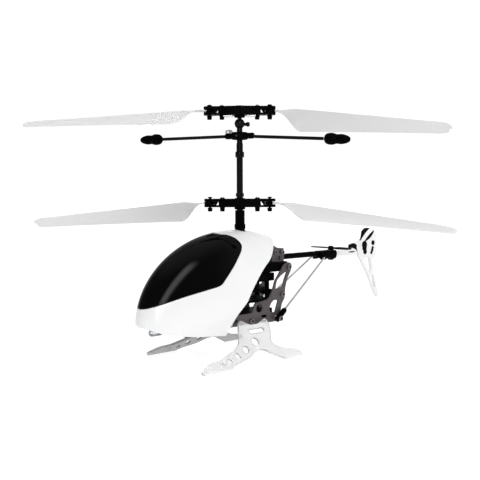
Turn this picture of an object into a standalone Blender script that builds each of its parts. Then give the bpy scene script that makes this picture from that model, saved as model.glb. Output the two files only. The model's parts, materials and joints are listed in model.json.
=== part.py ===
"""Palm-size coaxial remote control helicopter.

Two contra-rotating two-blade rotors on one mast, a weighted flybar under the upper rotor, a bonded
canopy with a dark windscreen, a plate frame, a tail boom with a level tail rotor and a swept fin, and
two sloping skids. Lengths are in millimetres until a helper hands them to Blender in metres. The nose
points to -Y, the port side is +X, and heights count from the ground under the skids.
"""

import math

import bmesh
import bpy
from mathutils import Matrix, Vector

MM = 0.001
GAP = 0.3                       # clearance kept between neighbouring solids

# Overall layout
MAST_Y = -8.46                  # mast axis, so that the footprint is centred on the origin
ROTOR_RADIUS = 92.2
ROTOR_HEADING = 49.6            # direction of both blade pairs at rest, degrees from +X
FLYBAR_HEADING = 30.8
FLYBAR_DROOP = (3.4, 0.5)       # how far each arm hangs from level, in degrees
UPPER_HUB_Z = 106.0             # mid-height of the upper blade grips
LOWER_HUB_Z = 66.2
BOOM_Z = 41.0
DECK_HALF = 6.2                 # half-width of the blocks held between the side plates
PLATE_X = 7.0                   # mid-plane of each side plate
PLATE_THICK = 0.8

# Rotor heads
GRIP_PIN_R = 13.05              # blade pin distance from the mast
BODY_PIN_R = 7.65
HUB_HALF_LENGTH = 15.6
HUB_HEIGHT = 3.7
HUB_HALF_WIDTH = 2.7
SLOT_INNER_R = 11.0
SLOT_HEIGHT = 1.3
PIN_R = 0.55
PIN_HEAD_R = 1.1
PIN_DROP = 1.9                  # how far each peg stands below the hub
BOSS_R = 2.4

# Blades
TONGUE_END_R = 16.5
TRAIL_START_R = 15.2            # radius where the trailing edge leaves the tongue
BLADE_FULL_R = 27.0             # radius where the trailing edge reaches its full depth
TIP_START_R = ROTOR_RADIUS - 6.0
BLADE_THICK = 0.7
TONGUE_HALF_WIDTH = 2.0
ROOT_PITCH = 20.5
TIP_PITCH = 15.0
# How far each blade hangs down and is turned nose-up from its moulded shape, in degrees
UPPER_SET = {"a": (5.1, 0.0), "b": (3.5, 0.0)}
LOWER_SET = {"a": (8.4, -4.0), "b": (5.8, 3.5)}

# Shafts
INNER_SHAFT_R = 1.4
OUTER_SHAFT_R = 2.1
OUTER_SHAFT_BORE = 1.7

# Canopy: the lower front part of an ellipsoid
CANOPY_CENTRE = (0.0, -5.0, 18.0)
CANOPY_RADII = (16.5, 47.0, 36.6)
CANOPY_THICK = 0.9

# Gears
MAIN_TEETH = 48
PINION_TEETH = 8
GEAR_MODULE = 0.4375
GEAR_THICK = 1.0
UPPER_GEAR_Z = 28.6
LOWER_GEAR_Z = 24.0
MOTOR_BEARING = 18.75           # degrees of each motor to the side of straight ahead: half-way between teeth
MOTOR_R = 3.5

# Skids
SKID_TOP = (8.0, 16.0)          # X and Z where the sloping skid plate starts
SKID_SLOPE = 0.83               # outward run for each unit of drop
SKID_THICK = 1.2

# Tail
TAIL_ROTOR_Y = 57.2
TAIL_ROTOR_Z = 43.3
TAIL_ROTOR_R = 11.3
TAIL_ROTOR_HEADING = 12.0
BOOM_R = 1.3
FIN_THICK = 1.2


def clear_scene():
    for obj in list(bpy.data.objects):
        bpy.data.objects.remove(obj, do_unlink=True)


clear_scene()
PARTS = bpy.data.collections.new("coaxial_helicopter")
CUTTERS = bpy.data.collections.new("cutters")
bpy.context.scene.collection.children.link(PARTS)
bpy.context.scene.collection.children.link(CUTTERS)


# ---------------------------------------------------------------- materials

def make_material(name, colour, roughness, metallic=0.0, transmission=0.0):
    material = bpy.data.materials.new(name)
    material.use_nodes = True
    shader = material.node_tree.nodes["Principled BSDF"]
    shader.inputs["Base Color"].default_value = (*colour, 1.0)
    shader.inputs["Roughness"].default_value = roughness
    shader.inputs["Metallic"].default_value = metallic
    shader.inputs["Transmission Weight"].default_value = transmission
    material.diffuse_color = (*colour, 1.0)
    return material


CANOPY_WHITE = make_material("canopy_white", (0.86, 0.86, 0.87), 0.12)
SCREEN_BLACK = make_material("screen_black", (0.006, 0.006, 0.007), 0.05)
PLATE_GREY = make_material("plate_grey", (0.085, 0.075, 0.078), 0.38, 0.85)
BLACK_PLASTIC = make_material("black_plastic", (0.012, 0.012, 0.013), 0.42)
SHAFT_DARK = make_material("shaft_dark", (0.03, 0.03, 0.032), 0.3, 0.9)
STEEL = make_material("steel", (0.55, 0.55, 0.56), 0.28, 1.0)
BLADE_CLEAR = make_material("blade_clear", (0.8, 0.8, 0.81), 0.3, 0.0, 0.3)
FIN_WHITE = make_material("fin_white", (0.8, 0.8, 0.8), 0.3)
SKID_CLEAR = make_material("skid_clear", (0.75, 0.76, 0.77), 0.2, 0.0, 0.5)
GEAR_BLACK = make_material("gear_black", (0.02, 0.02, 0.02), 0.5)
CELL_FOIL = make_material("cell_foil", (0.05, 0.05, 0.055), 0.35, 0.3)
BOARD_GREEN = make_material("board_green", (0.01, 0.05, 0.025), 0.4)
LAMP_CLEAR = make_material("lamp_clear", (0.7, 0.72, 0.75), 0.1, 0.0, 0.6)


# ---------------------------------------------------------------- helpers

def mm(point):
    """A point or vector in millimetres, as metres."""
    return Vector(point) * MM


def frame_empty(name, location=(0.0, 0.0, 0.0), heading=0.0, parent=None):
    """A joint or assembly frame: location in its parent's millimetres, heading in degrees about Z."""
    empty = bpy.data.objects.new(name, None)
    empty.empty_display_size = 4.0 * MM
    empty.location = mm(location)
    empty.rotation_euler[2] = math.radians(heading)
    empty.parent = parent
    PARTS.objects.link(empty)
    return empty


def add_mesh(name, mesh, material, parent, smooth_angle=35.0):
    obj = bpy.data.objects.new(name, mesh)
    mesh.name = name
    obj.parent = parent
    mesh.materials.clear()
    mesh.materials.append(material)
    mesh.shade_smooth()
    mesh.set_sharp_from_angle(angle=math.radians(smooth_angle))
    PARTS.objects.link(obj)
    return obj


def mesh_from_bmesh(name, work):
    bmesh.ops.recalc_face_normals(work, faces=work.faces)
    is_closed = all(edge.is_manifold for edge in work.edges)
    if is_closed and work.calc_volume(signed=True) < 0.0:
        bmesh.ops.reverse_faces(work, faces=work.faces)
    mesh = bpy.data.meshes.new(name)
    work.to_mesh(mesh)
    work.free()
    return mesh


def box_mesh(low, high, bevel=0.0):
    low, high = mm(low), mm(high)
    work = bmesh.new()
    bmesh.ops.create_cube(work, size=1.0)
    size = high - low
    bmesh.ops.scale(work, vec=size, verts=work.verts)
    bmesh.ops.translate(work, vec=(low + high) / 2.0, verts=work.verts)
    if bevel > 0.0:
        bmesh.ops.bevel(work, geom=work.edges[:], offset=bevel * MM, segments=1, affect="EDGES")
    return mesh_from_bmesh("box", work)


def rod_mesh(start, end, radius, segments=16, end_radius=None):
    """A round bar or cone between two points."""
    start, end = mm(start), mm(end)
    axis = end - start
    work = bmesh.new()
    bmesh.ops.create_cone(
        work, cap_ends=True, segments=segments, depth=axis.length,
        radius1=radius * MM, radius2=(radius if end_radius is None else end_radius) * MM,
    )
    turn = Vector((0.0, 0.0, 1.0)).rotation_difference(axis.normalized()).to_matrix().to_4x4()
    work.transform(Matrix.Translation((start + end) / 2.0) @ turn)
    return mesh_from_bmesh("rod", work)


def circle_points(centre, radius, count=16):
    return [
        (centre[0] + radius * math.cos(2.0 * math.pi * i / count),
         centre[1] + radius * math.sin(2.0 * math.pi * i / count))
        for i in range(count)
    ]


def rounded_slot(centre, half_length, half_height, count=6):
    """A slot with round ends, along the first axis."""
    straight = half_length - half_height
    points = []
    for side in (1.0, -1.0):
        for i in range(count + 1):
            angle = math.radians(-90.0 + 180.0 * i / count)
            points.append((centre[0] + side * (straight + half_height * math.cos(angle)),
                           centre[1] + side * half_height * math.sin(angle)))
    return points


def outline_mesh(outline, half_thickness, placement, holes=(), smooth=False, resolution=3):
    """A flat plate from a 2D curve, with its holes as further splines, moved by a 4x4 placement."""
    curve = bpy.data.curves.new("outline", "CURVE")
    curve.dimensions = "2D"
    curve.fill_mode = "BOTH"
    curve.extrude = half_thickness * MM
    curve.resolution_u = resolution
    for loop, is_smooth in [(outline, smooth)] + [(hole, False) for hole in holes]:
        if is_smooth:
            spline = curve.splines.new("BEZIER")
            spline.bezier_points.add(len(loop) - 1)
            for knot, (x, y) in zip(spline.bezier_points, loop):
                knot.co = mm((x, y, 0.0))
                knot.handle_left_type = "AUTO"
                knot.handle_right_type = "AUTO"
        else:
            spline = curve.splines.new("POLY")
            spline.points.add(len(loop) - 1)
            for point, (x, y) in zip(spline.points, loop):
                point.co = (x * MM, y * MM, 0.0, 1.0)
        spline.use_cyclic_u = True
    guide = bpy.data.objects.new("outline", curve)
    bpy.context.scene.collection.objects.link(guide)
    graph = bpy.context.evaluated_depsgraph_get()
    mesh = bpy.data.meshes.new_from_object(guide.evaluated_get(graph))
    bpy.data.objects.remove(guide, do_unlink=True)
    bpy.data.curves.remove(curve)
    work = bmesh.new()
    work.from_mesh(mesh)
    bmesh.ops.remove_doubles(work, verts=work.verts, dist=1e-6)
    work.transform(placement)
    bpy.data.meshes.remove(mesh)
    return mesh_from_bmesh("outline", work)


def flat_at(height):
    """Placement of a level plate whose mid-plane lies at this height."""
    return Matrix.Translation(mm((0.0, 0.0, height)))


def upright_at(x):
    """Placement of a fore-and-aft plate: its outline is given as (Y, Z) and its mid-plane is at x."""
    turn = Matrix(((0.0, 0.0, 1.0, 0.0), (1.0, 0.0, 0.0, 0.0), (0.0, 1.0, 0.0, 0.0), (0.0, 0.0, 0.0, 1.0)))
    return Matrix.Translation(mm((x, 0.0, 0.0))) @ turn


def across_at(y):
    """Placement of a crosswise plate: its outline is given as (X, Z) and its mid-plane is at y."""
    turn = Matrix(((1.0, 0.0, 0.0, 0.0), (0.0, 0.0, -1.0, 0.0), (0.0, 1.0, 0.0, 0.0), (0.0, 0.0, 0.0, 1.0)))
    return Matrix.Translation(mm((0.0, y, 0.0))) @ turn


def turned(name, profile, material, parent, steps=24, placement=None, closed=False):
    """A turned piece: a (radius, height) profile from top to bottom, swept with a Screw modifier."""
    points = [mm((radius, 0.0, height)) for radius, height in profile]
    edges = [(i, i + 1) for i in range(len(points) - 1)]
    if closed:
        edges.append((len(points) - 1, 0))
    mesh = bpy.data.meshes.new(name)
    mesh.from_pydata([tuple(p) for p in points], edges, [])
    mesh.materials.append(material)
    obj = bpy.data.objects.new(name, mesh)
    obj.parent = parent
    if placement is not None:
        obj.matrix_local = placement
    screw = obj.modifiers.new("Screw", "SCREW")
    screw.steps = steps
    screw.render_steps = steps
    screw.use_merge_vertices = True
    screw.merge_threshold = 0.00001
    screw.use_smooth_shade = True
    PARTS.objects.link(obj)
    return obj


def boolean(obj, mesh, operation="DIFFERENCE"):
    """Cut, join or intersect an object with a mesh given in the object's parent's frame."""
    tool = bpy.data.objects.new("cut_" + obj.name, mesh)
    tool.parent = obj.parent
    tool.hide_render = True
    tool.display_type = "WIRE"
    CUTTERS.objects.link(tool)
    modifier = obj.modifiers.new("Boolean", "BOOLEAN")
    modifier.operation = operation
    modifier.solver = "EXACT"
    modifier.object = tool


def join_meshes(*meshes):
    """One mesh with the faces of several closed ones, for a single Boolean tool."""
    work = bmesh.new()
    for mesh in meshes:
        work.from_mesh(mesh)
        bpy.data.meshes.remove(mesh)
    return mesh_from_bmesh("joined", work)


def offset_outline(points, distance):
    """Move each corner of a counter-clockwise outline outwards by a distance."""
    moved = []
    count = len(points)
    for i, (x, y) in enumerate(points):
        before = Vector(points[i]) - Vector(points[i - 1])
        after = Vector(points[(i + 1) % count]) - Vector(points[i])
        normal = Vector((before.y, -before.x)).normalized() + Vector((after.y, -after.x)).normalized()
        normal.normalize()
        moved.append((x + normal.x * distance, y + normal.y * distance))
    return moved


def cross_bolt(name, y, z, half_length, parent, head_r=1.15, material=STEEL):
    """A through bolt along X with a domed head at each end."""
    profile = [(0.0, half_length + 0.7), (0.7 * head_r, half_length + 0.6), (head_r, half_length + 0.25),
               (head_r, half_length), (PIN_R, half_length), (PIN_R, -half_length), (head_r, -half_length),
               (head_r, -half_length - 0.25), (0.7 * head_r, -half_length - 0.6), (0.0, -half_length - 0.7)]
    lie_down = Matrix.Translation(mm((0.0, y, z))) @ Matrix.Rotation(math.radians(90.0), 4, "Y")
    return turned(name, profile, material, parent, steps=12, placement=lie_down)


def bolt_hole(y, z, half_length=9.0):
    return rod_mesh((-half_length, y, z), (half_length, y, z), PIN_R + GAP, 12)


# ---------------------------------------------------------------- rotor heads and blades

def hub_side_outline():
    """The rotor bar seen from the side: a slot for each blade tongue and a three-cornered window."""
    half = HUB_HEIGHT / 2.0
    slot = SLOT_HEIGHT / 2.0
    right = [(HUB_HALF_LENGTH, -half), (HUB_HALF_LENGTH, -slot), (SLOT_INNER_R, -slot),
             (SLOT_INNER_R, slot), (HUB_HALF_LENGTH, slot), (HUB_HALF_LENGTH, half)]
    left = [(-x, -z) for x, z in right]
    return right + left


def hub_window(side):
    return [(side * 9.2, -1.0), (side * 10.4, -1.0), (side * 9.2, 0.9)]


def hub_plan_outline():
    """The rotor bar seen from above: round ends and a slight waist at the windows."""
    points = []
    for side in (1.0, -1.0):
        centre = side * (HUB_HALF_LENGTH - HUB_HALF_WIDTH)
        points += [(side * 9.6, -side * 2.3)]
        for i in range(7):
            angle = math.radians(-90.0 + 30.0 * i)
            points.append((centre + side * HUB_HALF_WIDTH * math.cos(angle),
                           side * HUB_HALF_WIDTH * math.sin(angle)))
        points += [(side * 9.6, side * 2.3), (side * 4.5, side * 3.3)]
        points += [(-side * 4.5, side * 3.3)]
    return points


def rotor_hub(name, parent, bore_r, blind_top=None):
    """A rotor bar with two body pegs, pin holes and a mast bore, centred on its parent's origin."""
    half = HUB_HEIGHT / 2.0
    mesh = outline_mesh(hub_side_outline(), HUB_HALF_WIDTH + 1.0, across_at(0.0),
                        holes=(hub_window(1.0), hub_window(-1.0)))
    hub = add_mesh(name, mesh, BLACK_PLASTIC, parent)
    boolean(hub, outline_mesh(hub_plan_outline(), half + 1.0, flat_at(0.0)), "INTERSECT")
    for side in (1.0, -1.0):
        x = side * BODY_PIN_R
        boolean(hub, rod_mesh((x, 0.0, -half - PIN_DROP), (x, 0.0, half + 0.3), PIN_HEAD_R, 10), "UNION")
    boolean(hub, rod_mesh((0.0, 0.0, -half - 1.0), (0.0, 0.0, half + 0.3), BOSS_R, 20), "UNION")
    top = half + 2.0 if blind_top is None else blind_top
    holes = [rod_mesh((0.0, 0.0, -half - 2.0), (0.0, 0.0, top), bore_r, 16)]
    for side in (1.0, -1.0):
        x = side * GRIP_PIN_R
        holes.append(rod_mesh((x, 0.0, -half - 3.0), (x, 0.0, half + 3.0), PIN_R + GAP, 10))
    boolean(hub, join_meshes(*holes))
    return hub


def blade_pin(name, parent, side):
    """The shouldered pin that a blade swings on, with a peg below the grip."""
    half = HUB_HEIGHT / 2.0
    top = half + GAP
    profile = [(0.0, top + 0.55), (0.7 * PIN_HEAD_R, top + 0.45), (PIN_HEAD_R, top), (PIN_R, top),
               (PIN_R, -top), (PIN_HEAD_R, -top), (PIN_HEAD_R, -half - PIN_DROP), (0.0, -half - PIN_DROP)]
    place = Matrix.Translation(mm((side * GRIP_PIN_R, 0.0, 0.0)))
    return turned(name, profile, BLACK_PLASTIC, parent, steps=12, placement=place)


def blend(value, start, end):
    """0 before start, 1 after end, smooth between."""
    t = min(max((value - start) / (end - start), 0.0), 1.0)
    return t * t * (3.0 - 2.0 * t)


def leading_edge(radius):
    taper = (radius - BLADE_FULL_R) / (ROTOR_RADIUS - BLADE_FULL_R)
    full = 3.2 - 0.8 * max(taper, 0.0)
    edge = TONGUE_HALF_WIDTH + (full - TONGUE_HALF_WIDTH) * blend(radius, TONGUE_END_R, 24.0)
    return edge


def trailing_edge(radius):
    taper = (radius - BLADE_FULL_R) / (ROTOR_RADIUS - BLADE_FULL_R)
    full = 19.2 - 8.8 * max(taper, 0.0)
    share = min(max((radius - TRAIL_START_R) / (BLADE_FULL_R - TRAIL_START_R), 0.0), 1.0)
    return TONGUE_HALF_WIDTH + (full - TONGUE_HALF_WIDTH) * share


def blade_stations():
    """Radii of the blade's cross sections: close at the tongue, the kink and the tip."""
    tongue = [11.5, 11.9, GRIP_PIN_R, TRAIL_START_R, TONGUE_END_R]
    kink = [18.0 + i * 1.5 for i in range(7)]
    span = [36.0 + i * 13.0 for i in range(4)]
    tip = [81.0, TIP_START_R] + [TIP_START_R + share * (ROTOR_RADIUS - TIP_START_R)
                                 for share in (0.45, 0.72, 0.9, 1.0)]
    return tongue + kink + span + tip


def blade_mesh(trail_side, droop, nose_up):
    """A twisted, drooping blade about its pin. trail_side gives the local Y side of the trailing edge."""
    across = 4
    work = bmesh.new()
    rows = []
    for radius in blade_stations():
        lead, trail = leading_edge(radius), trailing_edge(radius)
        if radius < GRIP_PIN_R:
            round_off = math.sqrt(max(1.0 - ((GRIP_PIN_R - radius) / 1.7) ** 2, 0.0))
            lead, trail = lead * round_off, trail * round_off
        if radius > TIP_START_R:
            t = (radius - TIP_START_R) / (ROTOR_RADIUS - TIP_START_R)
            chord = lead + trail
            lead -= 0.5 * chord * (1.0 - math.sqrt(max(1.0 - t * t, 0.0)))
            trail -= 0.14 * chord * t ** 4
        grow = blend(radius, TONGUE_END_R, 25.0)
        pitch = math.radians(grow * (ROOT_PITCH + (TIP_PITCH - ROOT_PITCH) * (radius - 25.0) / 70.0
                                     + nose_up))
        drop = math.tan(math.radians(droop)) * max(radius - 15.5, 0.0)
        camber = 0.9 * grow
        row = []
        for j in range(across + 1):
            t = j / across
            chordwise = lead - t * (lead + trail)
            lift = camber * 4.0 * t * (1.0 - t)
            y = -trail_side * (chordwise * math.cos(pitch) - lift * math.sin(pitch))
            z = chordwise * math.sin(pitch) + lift * math.cos(pitch) - drop
            row.append(work.verts.new(mm((radius - GRIP_PIN_R, y, z))))
        rows.append(row)
    for inner, outer in zip(rows, rows[1:]):
        for j in range(across):
            quad = (inner[j], outer[j], outer[j + 1], inner[j + 1])
            work.faces.new(quad)
    return mesh_from_bmesh("blade", work)


def rotor_blade(name, hub_frame, side_angle, trail_side, droop, nose_up):
    """One blade hanging on its pin, with its own joint frame at the pin."""
    angle = math.radians(side_angle)
    at_pin = (GRIP_PIN_R * math.cos(angle), GRIP_PIN_R * math.sin(angle), 0.0)
    frame = frame_empty(name + "_axis", at_pin, side_angle, hub_frame)
    blade = add_mesh(name, blade_mesh(trail_side, droop, nose_up), BLADE_CLEAR, frame, 60.0)
    solid = blade.modifiers.new("Solidify", "SOLIDIFY")
    solid.thickness = BLADE_THICK * MM
    solid.offset = 0.0
    boolean(blade, rod_mesh((0.0, 0.0, -3.0), (0.0, 0.0, 3.0), PIN_R + GAP, 12))
    return blade


def rotor(prefix, hub_frame, trail_side, blade_set):
    for label, angle, side in (("a", 0.0, 1.0), ("b", 180.0, -1.0)):
        rotor_blade(f"{prefix}_blade_{label}", hub_frame, angle, trail_side, *blade_set[label])
        blade_pin(f"{prefix}_blade_pin_{label}", hub_frame, side)


# ---------------------------------------------------------------- gears

def gear_outline(teeth, turn=0.0):
    """A toothed outline with narrow teeth, so that a meshed pair keeps its backlash."""
    pitch_r = teeth * GEAR_MODULE / 2.0
    tip, root = pitch_r + 0.62 * GEAR_MODULE, pitch_r - 0.95 * GEAR_MODULE
    step = 2.0 * math.pi / teeth
    points = []
    for i in range(teeth):
        for share, radius in ((-0.22, root), (-0.10, tip), (0.10, tip), (0.22, root)):
            angle = turn + (i + share) * step
            points.append((radius * math.cos(angle), radius * math.sin(angle)))
    return points


def main_gear(name, z, bore_r, parent):
    """A main gear with six lightening holes, aligned so that a tooth space faces each pinion."""
    holes = [circle_points((0.0, 0.0), bore_r, 16)]
    for i in range(6):
        angle = math.radians(60.0 * i + 30.0)
        holes.append(circle_points((6.2 * math.cos(angle), 6.2 * math.sin(angle)), 1.9, 8))
    teeth = gear_outline(MAIN_TEETH, -math.radians(ROTOR_HEADING))
    mesh = outline_mesh(teeth, GEAR_THICK / 2.0, flat_at(z), holes=holes)
    return add_mesh(name, mesh, GEAR_BLACK, parent)


def motor_centre(side):
    distance = (MAIN_TEETH + PINION_TEETH) * GEAR_MODULE / 2.0 + 0.14
    angle = math.radians(270.0 + side * MOTOR_BEARING)
    return (distance * math.cos(angle), distance * math.sin(angle), 0.0)


# ---------------------------------------------------------------- assemblies

AIRFRAME = frame_empty("airframe", (0.0, MAST_Y, 0.0))


def canopy_skin(name, material, smooth_angle=50.0):
    """The front and upper part of the canopy ellipsoid as an open surface, thickened inwards."""
    work = bmesh.new()
    bmesh.ops.create_uvsphere(work, u_segments=32, v_segments=20, radius=1.0)
    bmesh.ops.scale(work, vec=mm(CANOPY_RADII), verts=work.verts)
    bmesh.ops.translate(work, vec=mm(CANOPY_CENTRE), verts=work.verts)
    for point, normal in (((0.0, 0.0, 8.0), (0.0, 0.0, -1.0)), ((0.0, 20.0, 0.0), (0.0, 1.0, 0.0))):
        bmesh.ops.bisect_plane(work, geom=work.verts[:] + work.edges[:] + work.faces[:], dist=1e-7,
                               plane_co=mm(point), plane_no=normal, clear_outer=True)
    mesh = bpy.data.meshes.new(name)
    work.to_mesh(mesh)
    work.free()
    skin = add_mesh(name, mesh, material, AIRFRAME, smooth_angle)
    solid = skin.modifiers.new("Solidify", "SOLIDIFY")
    solid.thickness = CANOPY_THICK * MM
    solid.offset = -1.0
    return skin


# Windscreen outline in side view (Y, Z), counter-clockwise seen from port: sill, rear post, roof edge
SCREEN_OUTLINE = [
    (-60.0, 22.6), (-51.2, 24.9), (-45.0, 27.0), (-36.7, 29.6), (-29.0, 31.3), (-22.5, 32.6),
    (-20.2, 33.5), (-18.6, 35.0), (-14.6, 38.9), (-10.4, 43.1), (-7.2, 46.6), (-6.2, 48.9),
    (-7.6, 51.4), (-10.4, 52.9), (-14.8, 53.9), (-16.5, 58.0), (-60.0, 58.0),
]


def canopy():
    shell = canopy_skin("canopy_shell", CANOPY_WHITE)
    window = outline_mesh(SCREEN_OUTLINE, 25.0, upright_at(0.0))
    boolean(shell, window)
    below = [(-60.0, 23.5), (-53.5, 20.0), (-51.5, 18.3), (-49.0, 16.9), (-46.0, 15.8), (-42.0, 14.8),
             (-37.0, 13.9), (30.0, 6.6), (30.0, 0.0), (-60.0, 0.0)]
    behind = [(-18.4, 0.0), (-17.9, 10.0), (-15.7, 16.7), (-13.3, 21.2), (-9.0, 25.3), (-6.5, 28.9), (-3.3, 32.8),
              (1.7, 37.8), (7.8, 42.2), (11.6, 46.0), (14.3, 49.2), (15.3, 52.0), (15.5, 60.0),
              (40.0, 60.0), (40.0, 0.0)]
    boolean(shell, outline_mesh(below, 25.0, upright_at(0.0)))
    boolean(shell, outline_mesh(behind, 25.0, upright_at(0.0)))
    boolean(shell, rod_mesh((0.0, 0.0, 45.0), (0.0, 0.0, 60.0), 2.9, 24))
    screen = canopy_skin("windscreen", SCREEN_BLACK)
    boolean(screen, outline_mesh(offset_outline(SCREEN_OUTLINE, -GAP), 25.0, upright_at(0.0)), "INTERSECT")


# Side plate outline in side view (Y, Z), from the front foot round the rear strut to the ear
PLATE_OUTLINE = [
    (-24.0, 13.6), (-2.0, 13.5), (12.0, 13.1), (16.4, 13.3), (17.0, 16.5), (18.2, 20.8), (19.9, 23.4),
    (20.2, 27.6), (21.4, 31.8), (23.4, 35.0), (24.3, 37.2), (23.8, 38.6), (22.4, 39.2), (20.8, 38.9),
    (18.9, 37.9), (16.4, 34.4), (14.0, 31.2), (12.9, 28.1), (10.8, 24.4), (9.2, 23.3), (4.4, 23.3),
    (2.4, 22.3), (1.4, 20.2), (0.7, 18.4), (-24.0, 18.4),
]
PLATE_WINDOWS = [
    [(15.4, 31.8), (14.6, 29.8), (14.4, 27.6), (18.6, 28.4), (19.4, 31.0), (20.8, 34.0), (21.2, 35.0),
     (20.2, 34.9), (17.4, 33.4)],
    [(11.4, 17.4), (15.2, 17.0), (16.6, 21.2), (17.0, 22.6), (13.6, 23.4), (11.9, 22.0), (10.6, 19.4)],
    rounded_slot((7.6, 16.3), 1.6, 0.6, 3),
]
EAR_BOLT = (22.3, 37.0)
STRUT_BOLT = (18.4, 25.0)
FOOT_BOLT = (0.5, 15.0)
SOCKET_BOLT = (14.4, 14.9)
PEG_BAR = (-16.0, 16.2)
BLOCK_BOLTS = ((16.6, 43.9), (20.7, 43.7))


def side_plates():
    holes = list(PLATE_WINDOWS) + [circle_points((4.9, 20.0), 1.35, 14)]
    for y, z in (EAR_BOLT, STRUT_BOLT, FOOT_BOLT, SOCKET_BOLT, PEG_BAR):
        holes.append(circle_points((y, z), PIN_R + GAP, 12))
    for label, side in (("left", 1.0), ("right", -1.0)):
        mesh = outline_mesh(PLATE_OUTLINE, PLATE_THICK / 2.0, upright_at(side * PLATE_X), holes=holes)
        add_mesh("side_plate_" + label, mesh, PLATE_GREY, AIRFRAME)


def frame_blocks():
    """The moulded blocks held between the plates, the motor deck and the mast tower."""
    shaft_hole = rod_mesh((0.0, 0.0, 30.0), (0.0, 0.0, 42.0), OUTER_SHAFT_R + GAP, 20)
    upper_plan = [(-4.0, -5.4), (4.0, -5.4), (DECK_HALF, 0.0), (DECK_HALF, 20.0), (4.6, 24.0), (-4.6, 24.0),
                  (-DECK_HALF, 20.0), (-DECK_HALF, 0.0)]
    deck = add_mesh("upper_deck", outline_mesh(upper_plan, 1.95, flat_at(37.3)), BLACK_PLASTIC, AIRFRAME)
    boolean(deck, join_meshes(shaft_hole, bolt_hole(*EAR_BOLT)))

    motor_plan = [(-8.2, -17.0), (8.2, -17.0), (9.0, -8.0), (5.4, 0.0), (5.0, 15.6), (-5.0, 15.6),
                  (-5.4, 0.0), (-9.0, -8.0)]
    mount = add_mesh("motor_deck", outline_mesh(motor_plan, 1.7, flat_at(33.0)), BLACK_PLASTIC, AIRFRAME)
    holes = [rod_mesh((0.0, 0.0, 30.0), (0.0, 0.0, 36.0), OUTER_SHAFT_R + GAP, 20)]
    for side in (1.0, -1.0):
        x, y, _ = motor_centre(side)
        holes.append(rod_mesh((x, y, 30.0), (x, y, 36.0), MOTOR_R + GAP, 20))
    boolean(mount, join_meshes(*holes))
    for x in (3.4, -3.4):
        boolean(mount, rod_mesh((x, 12.6, 18.7), (x, 12.6, 35.05), 1.1, 12), "UNION")

    base = add_mesh("base_block", box_mesh((-DECK_HALF, -40.0, 14.0), (DECK_HALF, 13.8, 18.4), 0.5),
                    BLACK_PLASTIC, AIRFRAME)
    boolean(base, join_meshes(rod_mesh((0.0, 0.0, 15.6), (0.0, 0.0, 20.0), INNER_SHAFT_R + GAP, 16),
                              bolt_hole(*FOOT_BOLT), bolt_hole(*PEG_BAR)))
    boolean(base, rod_mesh((-9.0, 14.4, 14.9), (9.0, 14.4, 14.9), 1.6, 12))

    tower = [(2.9, 50.6), (3.4, 46.0), (5.0, 40.4), (5.0, 39.55), (OUTER_SHAFT_R + GAP, 39.55),
             (OUTER_SHAFT_R + GAP, 50.6)]
    turned("mast_tower", tower, BLACK_PLASTIC, AIRFRAME, steps=20, closed=True)

    side_view = [(14.9, 39.55), (21.8, 39.55), (22.3, 43.0), (21.7, 45.4), (18.6, 45.6), (17.1, 46.1),
                 (16.1, 46.9), (15.5, 46.9), (14.9, 45.6)]
    block = add_mesh("boom_block", outline_mesh(side_view, 4.5, upright_at(0.0)), PLATE_GREY, AIRFRAME)
    for side in (1.0, -1.0):
        recess = sorted((side * 3.7, side * 5.0))
        boolean(block, box_mesh((recess[0], 16.2, 40.1), (recess[1], 19.8, 42.1)))
    boolean(block, join_meshes(*[bolt_hole(y, z) for y, z in BLOCK_BOLTS]))
    boolean(block, rod_mesh((0.0, 17.0, BOOM_Z), (0.0, 30.0, BOOM_Z), BOOM_R + GAP, 20))


def frame_bolts():
    outer = PLATE_X + PLATE_THICK / 2.0 + GAP
    cross_bolt("ear_bolt", *EAR_BOLT, outer, AIRFRAME)
    cross_bolt("strut_bolt", *STRUT_BOLT, outer, AIRFRAME)
    cross_bolt("foot_bolt", *FOOT_BOLT, outer, AIRFRAME)
    cross_bolt("socket_bolt", *SOCKET_BOLT, 10.8, AIRFRAME)
    for label, (y, z) in zip(("front", "rear"), BLOCK_BOLTS):
        cross_bolt("block_bolt_" + label, y, z, 4.5 + GAP, AIRFRAME, 1.05)
    spacer = [(1.5, 6.2), (1.5, -6.2), (PIN_R + GAP, -6.2), (PIN_R + GAP, 6.2)]
    lie_down = Matrix.Translation(mm((0.0, *STRUT_BOLT))) @ Matrix.Rotation(math.radians(90.0), 4, "Y")
    turned("rear_spacer", spacer, BLACK_PLASTIC, AIRFRAME, steps=16, placement=lie_down, closed=True)
    y, z = PEG_BAR
    add_mesh("canopy_peg_bar", rod_mesh((-14.4, y, z), (14.4, y, z), PIN_R, 12), STEEL, AIRFRAME)


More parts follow.
